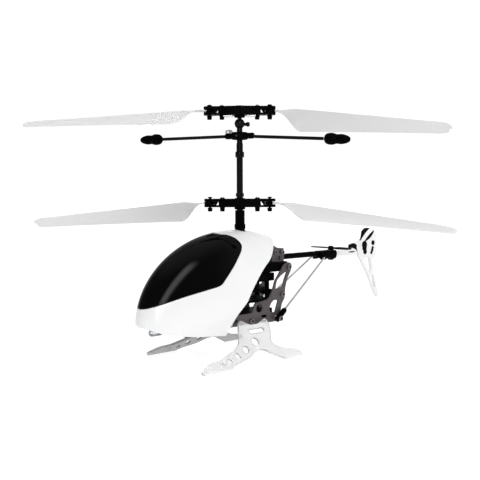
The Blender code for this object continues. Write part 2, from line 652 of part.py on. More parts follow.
def power_pack():
    add_mesh("battery_cell", box_mesh((-5.6, -38.0, 18.8), (5.6, -15.0, 24.2), 1.0), CELL_FOIL, AIRFRAME)
    add_mesh("circuit_board", box_mesh((-6.6, -37.0, 25.4), (6.6, -17.0, 26.4)), BOARD_GREEN, AIRFRAME)
    socket = add_mesh("charge_socket", box_mesh((-2.4, 14.2, 16.2), (2.4, 16.8, 18.4), 0.2), BLACK_PLASTIC,
                      AIRFRAME)
    boolean(socket, box_mesh((-1.6, 15.2, 16.7), (1.6, 18.0, 17.9)))
    housing = add_mesh("switch_housing", box_mesh((-4.2, -31.0, 11.4), (4.2, -26.0, 13.7), 0.3),
                       BLACK_PLASTIC, AIRFRAME)
    boolean(housing, box_mesh((-2.8, -29.8, 10.0), (2.8, -27.2, 12.5)))
    slider = frame_empty("switch_axis", (-1.0, -28.5, 11.4), 0.0, AIRFRAME)
    add_mesh("power_switch", box_mesh((-1.3, -0.9, -0.9), (1.3, 0.9, 0.8), 0.2), GEAR_BLACK, slider)
    lamp = [(0.0, 2.2), (0.7, 2.0), (1.2, 1.3), (1.4, 0.5), (1.4, -3.4), (0.0, -3.4)]
    forward = Matrix.Translation(mm((0.0, -44.6, 14.6))) @ Matrix.Rotation(math.radians(90.0), 4, "X")
    turned("nose_lamp", lamp, LAMP_CLEAR, AIRFRAME, steps=16, placement=forward)


def motors():
    """Two can motors ahead of the mast, each with its own pinion on a joint frame."""
    for label, side, gear_z in (("front_left", 1.0, UPPER_GEAR_Z), ("front_right", -1.0, LOWER_GEAR_Z)):
        x, y, _ = motor_centre(side)
        place = Matrix.Translation(mm((x, y, 0.0)))
        can = [(0.0, 47.2), (1.0, 47.2), (1.0, 46.5), (MOTOR_R - 0.4, 46.5), (MOTOR_R, 46.1), (MOTOR_R, 31.6),
               (MOTOR_R - 0.4, 31.2), (0.0, 31.2)]
        turned("motor_" + label, can, STEEL, AIRFRAME, steps=20, placement=place)
        frame = frame_empty(f"pinion_{label}_axis", (x, y, 0.0), 0.0, AIRFRAME)
        facing = math.atan2(-y, -x)
        half = GEAR_THICK / 2.0 + 0.3
        mesh = outline_mesh(gear_outline(PINION_TEETH, facing), half, flat_at(gear_z))
        pinion = add_mesh("pinion_" + label, mesh, STEEL, frame)
        boolean(pinion, rod_mesh((0.0, 0.0, gear_z), (0.0, 0.0, 30.9), 0.5, 10), "UNION")


def skid_placement(side):
    """A plate in (Y, distance down the slope), sloping outwards on the given side."""
    slope = math.hypot(1.0, SKID_SLOPE)
    along = Vector((0.0, 1.0, 0.0))
    down = Vector((side * SKID_SLOPE, 0.0, -1.0)) / slope
    normal = along.cross(down)
    matrix = Matrix((along, down, normal)).transposed().to_4x4()
    return Matrix.Translation(mm((side * SKID_TOP[0], 0.0, SKID_TOP[1]))) @ matrix


# Skid outline as (Y, distance down the slope), from the front ear back, round the rear foot to the toe
SKID_OUTLINE = [
    (-8.2, 0.9), (-6.4, 0.2), (-3.4, 2.3), (0.4, 2.9), (4.0, 1.8), (6.4, 0.9), (7.5, 3.0), (6.6, 7.0),
    (4.6, 11.2), (5.2, 13.6), (9.0, 15.9), (13.8, 17.2), (17.2, 19.0), (17.0, 21.8), (10.1, 22.4),
    (6.2, 20.0), (1.9, 17.3), (-2.1, 14.9), (-6.0, 15.2), (-10.7, 17.4), (-18.6, 19.3), (-23.0, 21.6),
    (-28.0, 22.6), (-33.6, 21.8), (-35.6, 19.6), (-33.2, 17.9), (-29.6, 16.5), (-25.0, 16.0),
    (-20.2, 14.2), (-15.8, 12.4), (-12.4, 9.8), (-10.4, 5.6), (-9.0, 2.6),
]
SKID_HOLES = ((-4.1, 10.8, 1.85), (-10.6, 13.5, 1.6), (-16.0, 15.8, 1.35), (-20.8, 17.3, 1.05),
              (-24.9, 18.4, 0.85))


def skids():
    holes = [rounded_slot((-0.7, 5.9), 4.2, 1.0)]
    holes += [circle_points((y, run), radius, 10) for y, run, radius in SKID_HOLES]
    for label, side in (("left", 1.0), ("right", -1.0)):
        mesh = outline_mesh(SKID_OUTLINE, SKID_THICK / 2.0, skid_placement(side), holes, True, 2)
        skid = add_mesh("landing_skid_" + label, mesh, SKID_CLEAR, AIRFRAME)
        boolean(skid, box_mesh((side * 25.0 - 15.0, -60.0, -10.0), (side * 25.0 + 15.0, 40.0, 0.0)))
        boolean(skid, box_mesh((-7.7, -60.0, 10.0), (7.7, 40.0, 20.0)))


def tail():
    bore = BOOM_R - 0.45
    tube = [(BOOM_R, 18.95), (BOOM_R, -18.95), (bore, -18.95), (bore, 18.95)]
    lie_aft = Matrix.Translation(mm((0.0, 36.35, BOOM_Z))) @ Matrix.Rotation(math.radians(90.0), 4, "X")
    turned("tail_boom", tube, BLACK_PLASTIC, AIRFRAME, steps=20, placement=lie_aft, closed=True)

    clamp_outline = [(-3.4, 38.2), (-2.2, 38.2), (-1.2, 38.8), (1.2, 38.8), (2.2, 38.2), (3.4, 38.2),
                     (3.4, 40.2), (2.4, 41.6), (2.0, 43.1), (1.0, 43.7), (-1.0, 43.7), (-2.0, 43.1),
                     (-2.4, 41.6), (-3.4, 40.2)]
    mesh = outline_mesh(clamp_outline, 1.2, across_at(49.2),
                        holes=(circle_points((0.0, BOOM_Z), BOOM_R + GAP, 20),))
    clamp = add_mesh("strut_clamp", mesh, BLACK_PLASTIC, AIRFRAME)
    boolean(clamp, box_mesh((-4.0, 47.0, 42.2), (4.0, 52.0, 45.0)))

    holder_outline = [(-2.4, 38.9), (-1.6, 38.3), (1.6, 38.3), (2.4, 38.9), (2.7, 41.0), (2.0, 42.2),
                      (-2.0, 42.2), (-2.7, 41.0)]
    holder = add_mesh("tail_motor_holder", outline_mesh(holder_outline, 3.9, across_at(54.9)), BLACK_PLASTIC,
                      AIRFRAME)
    collar = rod_mesh((0.0, TAIL_ROTOR_Y, 38.2), (0.0, TAIL_ROTOR_Y, 42.2), 2.5, 20)
    boolean(holder, collar, "UNION")
    boolean(holder, rod_mesh((0.0, TAIL_ROTOR_Y, 36.0), (0.0, TAIL_ROTOR_Y, 44.0), 1.8, 20))
    boolean(holder, rod_mesh((0.0, 50.0, BOOM_Z - 0.6), (0.0, TAIL_ROTOR_Y - 0.5, BOOM_Z - 0.6), BOOM_R + 0.9, 20))

    motor = [(0.0, 42.0), (1.5, 42.0), (1.5, 37.7), (1.2, 37.4), (0.0, 37.4)]
    place = Matrix.Translation(mm((0.0, TAIL_ROTOR_Y, 0.0)))
    turned("tail_motor", motor, STEEL, AIRFRAME, steps=16, placement=place)

    frame = frame_empty("tail_rotor_axis", (0.0, TAIL_ROTOR_Y, TAIL_ROTOR_Z), TAIL_ROTOR_HEADING, AIRFRAME)
    hub = [(0.0, 1.1), (0.9, 0.9), (1.4, 0.5), (1.4, -0.9), (0.0, -0.9)]
    spinner = turned("tail_rotor", hub, GEAR_BLACK, frame, steps=16)
    for side in (1.0, -1.0):
        half = (TAIL_ROTOR_R - 0.8) / 2.0
        blade = box_mesh((-half, -1.5, -0.3), (half, 1.5, 0.3), 0.2)
        tilt = Matrix.Rotation(math.radians(side * 16.0), 4, "X")
        blade.transform(Matrix.Translation(mm((side * (half + 0.8), 0.0, 0.0))) @ tilt)
        boolean(spinner, blade, "UNION")

    fin_outline = [(60.0, 39.2), (70.4, 38.8), (76.0, 39.3), (78.2, 36.4), (81.5, 31.7), (84.6, 27.0),
                   (88.6, 19.4), (91.3, 15.5), (92.6, 15.5), (92.7, 16.6), (91.4, 21.6), (88.9, 30.3),
                   (87.4, 36.0), (90.2, 37.4), (91.0, 44.2), (90.3, 49.4), (87.6, 51.9), (82.6, 52.3),
                   (80.0, 50.8), (79.4, 46.8), (76.6, 45.3), (71.6, 44.9), (70.4, 44.2), (70.2, 41.9),
                   (60.0, 41.5)]
    windows = [[(81.0, 36.6), (82.8, 33.0), (85.2, 29.9), (86.7, 30.4), (85.4, 36.0), (84.6, 37.2)],
               [(86.4, 27.2), (89.2, 21.4), (90.2, 20.4), (88.2, 27.6)]]
    add_mesh("tail_fin", outline_mesh(fin_outline, FIN_THICK / 2.0, upright_at(0.0), holes=windows), FIN_WHITE,
             AIRFRAME)


def tail_struts():
    """Two thin rods from sockets at the frame's heel up to the boom clamp."""
    for label, side in (("left", 1.0), ("right", -1.0)):
        foot = Vector((side * 9.1, 14.4, 14.9))
        top = Vector((side * 4.2, 48.4, 39.3))
        run = (top - foot).normalized()
        socket = add_mesh("strut_socket_" + label, rod_mesh(foot - run * 1.4, foot + run * 6.0, 1.25, 12),
                          BLACK_PLASTIC, AIRFRAME)
        boolean(socket, bolt_hole(*SOCKET_BOLT, 14.0))
        add_mesh("tail_strut_" + label, rod_mesh(foot + run * 6.3, top, 0.45, 8), STEEL, AIRFRAME)


def lower_rotor():
    frame = frame_empty("lower_rotor_axis", (0.0, 0.0, LOWER_HUB_Z), ROTOR_HEADING, AIRFRAME)
    rotor_hub("lower_hub", frame, INNER_SHAFT_R + GAP)
    rotor("lower", frame, -1.0, LOWER_SET)
    low = LOWER_HUB_Z
    sleeve = [(OUTER_SHAFT_R, 63.0 - low), (OUTER_SHAFT_R, 57.1 - low), (2.4, 56.9 - low), (2.4, 54.9 - low),
              (OUTER_SHAFT_R, 54.9 - low), (OUTER_SHAFT_R, 26.0 - low), (OUTER_SHAFT_BORE, 26.0 - low),
              (OUTER_SHAFT_BORE, 63.0 - low)]
    turned("outer_shaft", sleeve, BLACK_PLASTIC, frame, steps=16, closed=True)
    main_gear("upper_gear", UPPER_GEAR_Z - low, OUTER_SHAFT_R + GAP, frame)


def upper_rotor():
    """The inner shaft with its gear and collars, the rocking head with two blades, and the flybar."""
    mast = frame_empty("inner_shaft_axis", (0.0, 0.0, 0.0), ROTOR_HEADING, AIRFRAME)
    shaft = [(0.0, 106.6), (0.9, 106.4), (1.25, 105.6), (0.9, 104.9), (0.9, 102.4), (1.5, 102.1), (2.1, 101.3),
             (2.2, 100.5), (2.1, 99.7), (1.5, 98.9), (1.25, 98.7), (1.25, 92.3), (1.45, 91.9), (1.45, 88.6),
             (1.95, 88.2), (1.95, 86.0), (INNER_SHAFT_R, 85.9), (INNER_SHAFT_R, 70.6), (1.8, 70.4),
             (1.8, 68.9), (INNER_SHAFT_R, 68.9), (INNER_SHAFT_R, 16.0), (0.0, 16.0)]
    inner = turned("inner_shaft", shaft, SHAFT_DARK, mast, steps=14)
    main_gear("lower_gear", LOWER_GEAR_Z, INNER_SHAFT_R + GAP, mast)

    head = frame_empty("upper_head_axis", (0.0, 0.0, UPPER_HUB_Z), 0.0, mast)
    rotor_hub("upper_hub", head, 1.7, 1.2)
    rotor("upper", head, 1.0, UPPER_SET)

    flybar = frame_empty("flybar_axis", (0.0, 0.0, 95.2), FLYBAR_HEADING - ROTOR_HEADING, mast)
    ring = [(3.3, 1.6), (3.6, 1.2), (3.6, -1.2), (3.3, -1.6), (2.2, -1.6), (2.2, 1.6)]
    hub = turned("flybar_hub", ring, BLACK_PLASTIC, flybar, steps=16, closed=True)
    for side in (1.0, -1.0):
        boolean(hub, rod_mesh((side * 3.0, 0.0, 0.0), (side * 6.6, 0.0, 0.0), 1.3, 12), "UNION")
    boolean(hub, rod_mesh((0.0, -6.0, 0.0), (0.0, 6.0, 0.0), PIN_R + GAP, 12))
    flybar_heading = math.radians(FLYBAR_HEADING - ROTOR_HEADING)
    across = Vector((-math.sin(flybar_heading), math.cos(flybar_heading), 0.0))
    centre = Vector((0.0, 0.0, 95.2))
    boolean(inner, rod_mesh(centre - across * 3.0, centre + across * 3.0, PIN_R + GAP, 12))
    add_mesh("flybar_pivot_pin", rod_mesh(centre - across * 4.3, centre + across * 4.3, PIN_R, 12), STEEL, mast)
    lobes = [(0.0, 48.6), (1.0, 48.2), (1.8, 46.6), (2.1, 44.8), (1.95, 43.2), (2.05, 42.6), (2.45, 41.2),
             (2.45, 39.6), (1.7, 37.9), (0.0, 37.6)]
    for label, side, droop in (("a", 1.0, FLYBAR_DROOP[0]), ("b", -1.0, FLYBAR_DROOP[1])):
        bend = Matrix.Rotation(math.radians(side * (90.0 + droop)), 4, "Y")
        arm = rod_mesh((0.0, 0.0, 6.9), (0.0, 0.0, 37.3), 0.72, 10)
        arm.transform(bend)
        add_mesh("flybar_arm_" + label, arm, SHAFT_DARK, flybar)
        turned("flybar_weight_" + label, lobes, BLACK_PLASTIC, flybar, steps=16, placement=bend)


canopy()
side_plates()
frame_blocks()
frame_bolts()
power_pack()
motors()
skids()
tail()
tail_struts()
lower_rotor()
upper_rotor()
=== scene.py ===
"""Looks of the palm-size coaxial helicopter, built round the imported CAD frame.

Lengths are millimetres about the mast's foot, nose to -Y and port to +X; add() turns them into metres.
Blades and hubs are made along +X about the mast and then turned to the rotors' heading at rest.
"""
import json
from math import atan2, cos, hypot, pi, radians, sin, sqrt, tan

import bmesh
import bpy
from mathutils import Matrix, Vector


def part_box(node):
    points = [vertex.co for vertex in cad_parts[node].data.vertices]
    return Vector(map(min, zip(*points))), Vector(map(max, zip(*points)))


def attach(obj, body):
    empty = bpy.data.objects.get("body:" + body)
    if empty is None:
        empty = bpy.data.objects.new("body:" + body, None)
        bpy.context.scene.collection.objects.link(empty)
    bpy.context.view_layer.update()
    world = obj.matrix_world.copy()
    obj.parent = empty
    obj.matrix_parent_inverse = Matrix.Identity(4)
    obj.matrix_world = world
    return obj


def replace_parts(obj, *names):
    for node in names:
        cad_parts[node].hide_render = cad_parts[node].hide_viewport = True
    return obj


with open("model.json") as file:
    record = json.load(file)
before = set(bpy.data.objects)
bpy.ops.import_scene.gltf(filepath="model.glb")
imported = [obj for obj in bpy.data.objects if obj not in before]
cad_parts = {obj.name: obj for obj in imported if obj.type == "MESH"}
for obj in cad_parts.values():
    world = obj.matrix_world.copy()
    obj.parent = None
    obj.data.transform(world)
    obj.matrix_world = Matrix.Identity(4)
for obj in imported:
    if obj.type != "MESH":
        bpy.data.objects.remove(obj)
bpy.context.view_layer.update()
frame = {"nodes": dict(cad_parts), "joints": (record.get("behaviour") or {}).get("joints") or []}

MM = 0.001
JOINTS = {joint["name"]: joint for joint in frame["joints"]}


def joint_place(name):
    return Vector(JOINTS[name]["pos_m"]) / MM


def node_low(name):
    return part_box(name)[0] / MM


def node_high(name):
    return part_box(name)[1] / MM


# ---- places taken from the frame

MAST_FOOT = Vector((0, joint_place("lower_rotor_spin").y, 0))
AIRFRAME = Matrix.Translation(MAST_FOOT)
BLADE_AXIS = Vector(JOINTS["head_rock"]["axis"])
HEADING = atan2(BLADE_AXIS.y, BLADE_AXIS.x)
TILT_AXIS = Vector(JOINTS["flybar_tilt"]["axis"])
FLYBAR_HEADING = atan2(TILT_AXIS.y, TILT_AXIS.x) - pi / 2
UPPER_HUB_Z = joint_place("head_rock").z
LOWER_HUB_Z = joint_place("lower_rotor_spin").z
FLYBAR_Z = joint_place("flybar_tilt").z
GRIP_PIN_R = (joint_place("upper_blade_a_lag") - joint_place("head_rock")).length
LEFT_MOTOR = joint_place("left_pinion_spin") - MAST_FOOT
RIGHT_MOTOR = joint_place("right_pinion_spin") - MAST_FOOT
TAIL_HUB = joint_place("tail_rotor_spin") - MAST_FOOT
BOOM_Z = (node_low("tail_boom").z + node_high("tail_boom").z) / 2
BOOM_R = (node_high("tail_boom").z - node_low("tail_boom").z) / 2


def on_mast(height, heading=HEADING):
    """Placement of what is made about the mast and turned to a heading."""
    return AIRFRAME @ Matrix.Translation((0, 0, height)) @ Matrix.Rotation(heading, 4, "Z")


UPRIGHT = Matrix(((0, 0, 1, 0), (1, 0, 0, 0), (0, 1, 0, 0), (0, 0, 0, 1)))      # outline (Y, Z), thick along X
ACROSS = Matrix(((1, 0, 0, 0), (0, 0, -1, 0), (0, 1, 0, 0), (0, 0, 0, 1)))      # outline (X, Z), thick along Y
LIE_PORT = Matrix.Rotation(radians(90), 4, "Y")                          # turned pieces along +X
LIE_NOSE = Matrix.Rotation(radians(90), 4, "X")                          # turned pieces along -Y


# ---- shader helpers

RECORD_SLOTS = {"black_nylon": "black_plastic", "wire_red": "black_plastic", "wire_black": "black_plastic",
                "wire_blue": "black_plastic", "motor_can": "steel", "brass": "steel", "tin": "steel",
                "steel_dark": "steel", "bolt_steel": "steel", "skid_clear_painted_shade": "skid_clear",
                "blade_white": "blade_clear", "tape_amber": "cell_foil", "chip_black": "gear_black"}


def new_look(name, colour, roughness, **sockets):
    """A Principled material; sockets are named with underscores for spaces."""
    material = bpy.data.materials.new(name)
    material["record_slot"] = RECORD_SLOTS.get(name, name)
    material.use_nodes = True
    shader = material.node_tree.nodes["Principled BSDF"]
    shader.inputs["Base Color"].default_value = (*colour, 1)
    shader.inputs["Roughness"].default_value = roughness
    for socket, value in sockets.items():
        shader.inputs[socket.replace("_", " ")].default_value = value
    material.diffuse_color = (*colour, 1)
    return material


def add_node(material, kind, inputs=(), **settings):
    node = material.node_tree.nodes.new(kind)
    for name, value in settings.items():
        setattr(node, name, value)
    for name, value in dict(inputs).items():
        if isinstance(value, bpy.types.NodeSocket):
            material.node_tree.links.new(value, node.inputs[name])
        else:
            node.inputs[name].default_value = value
    return node


def local_space(material, size=1, stretch=(1, 1, 1), turn=0):
    """The piece's own coordinates in units of size millimetres, drawn out by stretch."""
    source = add_node(material, "ShaderNodeTexCoord")
    return add_node(material, "ShaderNodeMapping", {
        "Vector": source.outputs["Object"], "Scale": [size * MM * share for share in stretch],
        "Rotation": (0, 0, turn)}, vector_type="TEXTURE").outputs["Vector"]


def noise(material, size, stretch=(1, 1, 1), turn=0, detail=3):
    """Noise with features about size millimetres across."""
    return add_node(material, "ShaderNodeTexNoise", {
        "Vector": local_space(material, size, stretch, turn), "Scale": 1, "Detail": detail}).outputs["Fac"]


def spread(material, factor, low, high, source=(0.3, 0.7)):
    """Map the middle of a 0 to 1 factor onto low to high."""
    return add_node(material, "ShaderNodeMapRange", {
        "Value": factor, "From Min": source[0], "From Max": source[1], "To Min": low,
        "To Max": high}).outputs["Result"]


def two_tone(material, factor, first, second):
    mix = add_node(material, "ShaderNodeMix", {"Factor": factor}, data_type="RGBA")
    mix.inputs[6].default_value = (*first, 1)
    mix.inputs[7].default_value = (*second, 1)
    return mix.outputs[2]


def calculate(material, operation, first, second=0):
    node = add_node(material, "ShaderNodeMath", operation=operation)
    for socket, value in zip(node.inputs, (first, second)):
        if isinstance(value, bpy.types.NodeSocket):
            material.node_tree.links.new(value, socket)
        else:
            socket.default_value = value
    return node.outputs[0]


def drive(material, **sockets):
    """Link textures to the shader's sockets."""
    shader = material.node_tree.nodes["Principled BSDF"]
    for name, value in sockets.items():
        material.node_tree.links.new(value, shader.inputs[name.replace("_", " ")])


def emboss(material, height, depth, strength=1):
    """Relief from a height texture, depth millimetres deep."""
    bump = add_node(material, "ShaderNodeBump", {"Height": height, "Strength": strength, "Distance": depth * MM})
    drive(material, Normal=bump.outputs["Normal"])


def worn(name, first, second, patch, rough, grain, depth, stretch=(1, 1, 1), turn=0, **sockets):
    """A material of two close colours in patches, uneven roughness and a fine grain in relief."""
    material = new_look(name, first, rough[0], **sockets)
    drive(material, Base_Color=two_tone(material, noise(material, patch, stretch, turn), first, second),
          Roughness=spread(material, noise(material, patch * 0.31, stretch, turn, 4), *rough))
    emboss(material, noise(material, grain, stretch, turn, 2), depth)
    return material


# ---- materials

CANOPY_WHITE = worn("canopy_white", (0.765, 0.765, 0.772), (0.79, 0.79, 0.795), 14, (0.13, 0.2), 1.1, 0.0015,
                    Coat_Weight=0.3, Coat_Roughness=0.06)
SCREEN_BLACK = worn("screen_black", (0.0006, 0.0006, 0.0008), (0.0012, 0.0012, 0.0015), 9, (0.05, 0.09), 2.2,
                    0.0004, Specular_IOR_Level=0.075)
PLATE_GREY = worn("plate_grey", (0.07, 0.06, 0.063), (0.092, 0.079, 0.082), 5, (0.34, 0.48), 0.14, 0.0035,
                  stretch=(1, 9, 1), Metallic=0.35, Specular_IOR_Level=0.3)
BLACK_NYLON = worn("black_nylon", (0.0006, 0.0006, 0.0007), (0.0015, 0.0015, 0.0016), 3, (0.34, 0.5), 0.22, 0.006,
                   Specular_IOR_Level=0.015)
GEAR_BLACK = worn("gear_black", (0.001, 0.001, 0.001), (0.0022, 0.0022, 0.0021), 2, (0.4, 0.58), 0.3, 0.004,
                  Specular_IOR_Level=0.03)
SHAFT_DARK = worn("shaft_dark", (0.002, 0.002, 0.0021), (0.004, 0.004, 0.0042), 2.4, (0.12, 0.2), 0.12, 0.0015,
                  stretch=(1, 1, 14), Specular_IOR_Level=0.1)
STEEL = worn("steel", (0.42, 0.42, 0.43), (0.54, 0.54, 0.54), 1.6, (0.22, 0.38), 0.1, 0.002,
             stretch=(6, 1, 1), Metallic=1)
BOLT_STEEL = worn("bolt_steel", (0.2, 0.19, 0.19), (0.3, 0.29, 0.285), 0.9, (0.26, 0.4), 0.1, 0.002, Metallic=1)
STEEL_DARK = worn("steel_dark", (0.03, 0.028, 0.028), (0.05, 0.047, 0.046), 0.9, (0.3, 0.44), 0.1, 0.002,
                  Metallic=0.8)
MOTOR_CAN = worn("motor_can", (0.46, 0.46, 0.47), (0.58, 0.57, 0.56), 2, (0.24, 0.38), 0.1, 0.002,
                 stretch=(1, 1, 10), Metallic=1)
BRASS = worn("brass", (0.62, 0.42, 0.14), (0.72, 0.52, 0.22), 0.8, (0.22, 0.36), 0.1, 0.001, Metallic=1)
TIN = worn("tin", (0.6, 0.6, 0.6), (0.7, 0.7, 0.69), 0.5, (0.18, 0.34), 0.25, 0.01, Metallic=1)
BLADE_WHITE = worn("blade_white", (0.7, 0.7, 0.705), (0.735, 0.735, 0.737), 14, (0.4, 0.5), 4, 0.0003,
                   stretch=(5, 1, 1), turn=HEADING, Specular_IOR_Level=0.08)
SKID_CLEAR = worn("skid_clear", (0.85, 0.852, 0.855), (0.88, 0.882, 0.885), 8, (0.03, 0.06), 6, 0.0004,
                  Transmission_Weight=0.72, IOR=1.49)
# A greyer, less clear copy of the clear skid plastic for the right skid: painted shade for the shadow under the body
# that skid sits in
SKID_PAINTED_SHADE = worn("skid_clear_painted_shade", (0.4, 0.4, 0.405), (0.46, 0.46, 0.465), 8, (0.05, 0.1), 6, 0.0004,
                  Transmission_Weight=0.4, IOR=1.49)
LAMP_CLEAR = worn("lamp_clear", (0.86, 0.88, 0.92), (0.9, 0.92, 0.95), 1, (0.04, 0.1), 0.6, 0.001,
                  Transmission_Weight=0.85)
WIRE_RED = worn("wire_red", (0.42, 0.012, 0.01), (0.5, 0.02, 0.016), 1, (0.34, 0.46), 0.3, 0.002)
WIRE_BLACK = worn("wire_black", (0.012, 0.012, 0.012), (0.02, 0.02, 0.02), 1, (0.34, 0.46), 0.3, 0.002)
WIRE_BLUE = worn("wire_blue", (0.012, 0.05, 0.3), (0.02, 0.07, 0.36), 1, (0.34, 0.46), 0.3, 0.002)
TAPE_AMBER = worn("tape_amber", (0.5, 0.24, 0.03), (0.6, 0.3, 0.05), 2, (0.16, 0.26), 0.8, 0.004,
                  Coat_Weight=0.4)
CHIP_BLACK = worn("chip_black", (0.014, 0.014, 0.015), (0.022, 0.022, 0.023), 0.8, (0.5, 0.62), 0.12, 0.004)


def foil():
    """The cell's pouch: grey laminate with shallow creases."""
    material = new_look("cell_foil", (0.18, 0.18, 0.19), 0.35, Metallic=0.7)
    creases = add_node(material, "ShaderNodeTexVoronoi", {
        "Vector": local_space(material, 4, (1, 2.2, 1)), "Scale": 1}, feature="SMOOTH_F1")
    drive(material, Base_Color=two_tone(material, noise(material, 5), (0.16, 0.16, 0.17), (0.24, 0.24, 0.25)),
          Roughness=spread(material, noise(material, 1.2), 0.28, 0.44))
    emboss(material, creases.outputs["Distance"], 0.05, 0.6)
    return material


def board():
    """Green solder mask over raised copper tracks."""
    material = new_look("board_green", (0.012, 0.07, 0.03), 0.3, Coat_Weight=0.3)
    tracks = add_node(material, "ShaderNodeTexBrick", {
        "Vector": local_space(material, 1), "Scale": 1, "Mortar Size": 0.09, "Mortar Smooth": 0.2,
        "Brick Width": 1.7, "Row Height": 0.55}, offset=0.35, squash=0.6, squash_frequency=3)
    drive(material, Base_Color=two_tone(material, tracks.outputs["Fac"], (0.008, 0.055, 0.022), (0.03, 0.13, 0.05)),
          Roughness=spread(material, noise(material, 0.6), 0.24, 0.36))
    emboss(material, tracks.outputs["Fac"], 0.02)
    return material


def disc_mask(material, space, centre, radius, soft=0.08):
    """1 inside a circle in the fin's plane (Y, Z), 0 outside."""
    shifted = add_node(material, "ShaderNodeVectorMath", {0: space, 1: (0, *centre)}, operation="SUBTRACT")
    level = add_node(material, "ShaderNodeVectorMath", {0: shifted.outputs[0], 1: (0, 1, 1)},
                     operation="MULTIPLY")
    length = add_node(material, "ShaderNodeVectorMath", {0: level.outputs[0]}, operation="LENGTH")
    return spread(material, length.outputs["Value"], 1, 0, (radius - soft, radius + soft))


def fin_look():
    """White moulding with plain black patches parted by curved white bands."""
    material = new_look("fin_white", (0.77, 0.77, 0.77), 0.28, Specular_IOR_Level=0.03)
    space = local_space(material)

    def disc(y, z, radius):
        return disc_mask(material, space, (y + MAST_FOOT.y, z), radius)

    def joined(operation, *masks):
        result = masks[0]
        for mask in masks[1:]:
            result = calculate(material, operation, result, mask)
        return result

    def without(mask, hole):
        return calculate(material, "MULTIPLY", mask, calculate(material, "SUBTRACT", 1, hole))

    crest = without(without(disc(84.6, 47, 6.4), disc(97.4, 31.4, 23.8)), disc(80.6, 59.6, 7.4))
    leaf = joined("MULTIPLY", disc(97.4, 31.4, 21.3), disc(80.3, 54.7, 9.5))
    heart = joined("MAXIMUM", disc(81.4, 43.6, 2), disc(81.4, 41.9, 1.7), disc(81.9, 40, 1.4))
    edge = joined("MAXIMUM", disc(88, 44.3, 1.3), disc(87.8, 41.7, 0.85), disc(87.4, 40.5, 1),
                  disc(86.8, 39.2, 0.85))
    dorsal = without(without(disc(72.7, 40.3, 4.5), disc(71.5, 36.6, 5.8)), disc(81.3, 43, 5.8))
    keel = joined("MULTIPLY", disc(71.8, 52.35, 12.2), disc(71.8, 28.65, 12.2))
    patch = joined("MAXIMUM", crest, leaf, heart, edge, dorsal, keel)
    drive(material, Base_Color=two_tone(material, patch, (0.77, 0.77, 0.77), (0.001, 0.001, 0.001)),
          Roughness=spread(material, noise(material, 2), 0.22, 0.34))
    emboss(material, calculate(material, "ADD", patch, calculate(
        material, "MULTIPLY", noise(material, 0.4), 0.15)), 0.02)
    return material


CELL_FOIL, BOARD_GREEN, FIN_WHITE = foil(), board(), fin_look()


# ---- outline helpers

def circle(centre, radius, count=40):
    return [(centre[0] + radius * cos(2 * pi * i / count),
             centre[1] + radius * sin(2 * pi * i / count)) for i in range(count)]


def slot(centre, half_length, half_height, count=10):
    straight = half_length - half_height
    points = []
    for side in (1, -1):
        for i in range(count + 1):
            angle = radians(-90 + 180 * i / count)
            points.append((centre[0] + side * (straight + half_height * cos(angle)),
                           centre[1] + side * half_height * sin(angle)))
    return points


def rounded(points, reach, steps=4, closed=True):
    """The outline with each corner eased by a curve that starts at most reach before it."""
    result = []
    count = len(points)
    for i, point in enumerate(points):
        corner = Vector(point)
        if not closed and i in (0, count - 1):
            result.append(corner)
            continue
        before = Vector(points[i - 1]) - corner
        after = Vector(points[(i + 1) % count]) - corner
        ease = min(reach, 0.46 * before.length, 0.46 * after.length)
        start, end = corner + before.normalized() * ease, corner + after.normalized() * ease
        for k in range(steps + 1):
            t = k / steps
            result.append(start * (1 - t) ** 2 + corner * (2 * t * (1 - t)) + end * t * t)
    return result


def flowing(points, steps=6):
    """A smooth open curve through the points."""
    result = []
    padded = [points[0], *points, points[-1]]
    for i in range(1, len(padded) - 2):
        a, b, c, d = (Vector(p) for p in padded[i - 1:i + 3])
        for k in range(steps):
            t = k / steps
            result.append(0.5 * ((2 * b) + (c - a) * t + (2 * a - 5 * b + 4 * c - d) * t * t
                                 + (3 * b - a - 3 * c + d) * t ** 3))
    result.append(Vector(points[-1]))
    return result


def signed_area(loop):
    return sum(a[0] * b[1] - b[0] * a[1] for a, b in zip(loop, [*loop[1:], loop[0]])) / 2


# ---- solids

def clean(work):
    bmesh.ops.remove_doubles(work, verts=work.verts, dist=1e-4)
    bmesh.ops.recalc_face_normals(work, faces=work.faces)
    if all(edge.is_manifold for edge in work.edges) and work.calc_volume(signed=True) < 0:
        bmesh.ops.reverse_faces(work, faces=work.faces)
    return work


def linked(name, data):
    """A new object in the scene."""
    obj = bpy.data.objects.new(name, data)
    bpy.context.scene.collection.objects.link(obj)
    return obj


def discard(obj):
    """Remove an object with its mesh or curve."""
    data, home = obj.data, bpy.data.meshes if obj.type == "MESH" else bpy.data.curves
    bpy.data.objects.remove(obj, do_unlink=True)
    home.remove(data)


def evaluated(obj):
    """A bmesh of an object as its modifiers leave it."""
    graph = bpy.context.evaluated_depsgraph_get()
    mesh = bpy.data.meshes.new_from_object(obj.evaluated_get(graph), depsgraph=graph)
    work = bmesh.new()
    work.from_mesh(mesh)
    bpy.data.meshes.remove(mesh)
    return work


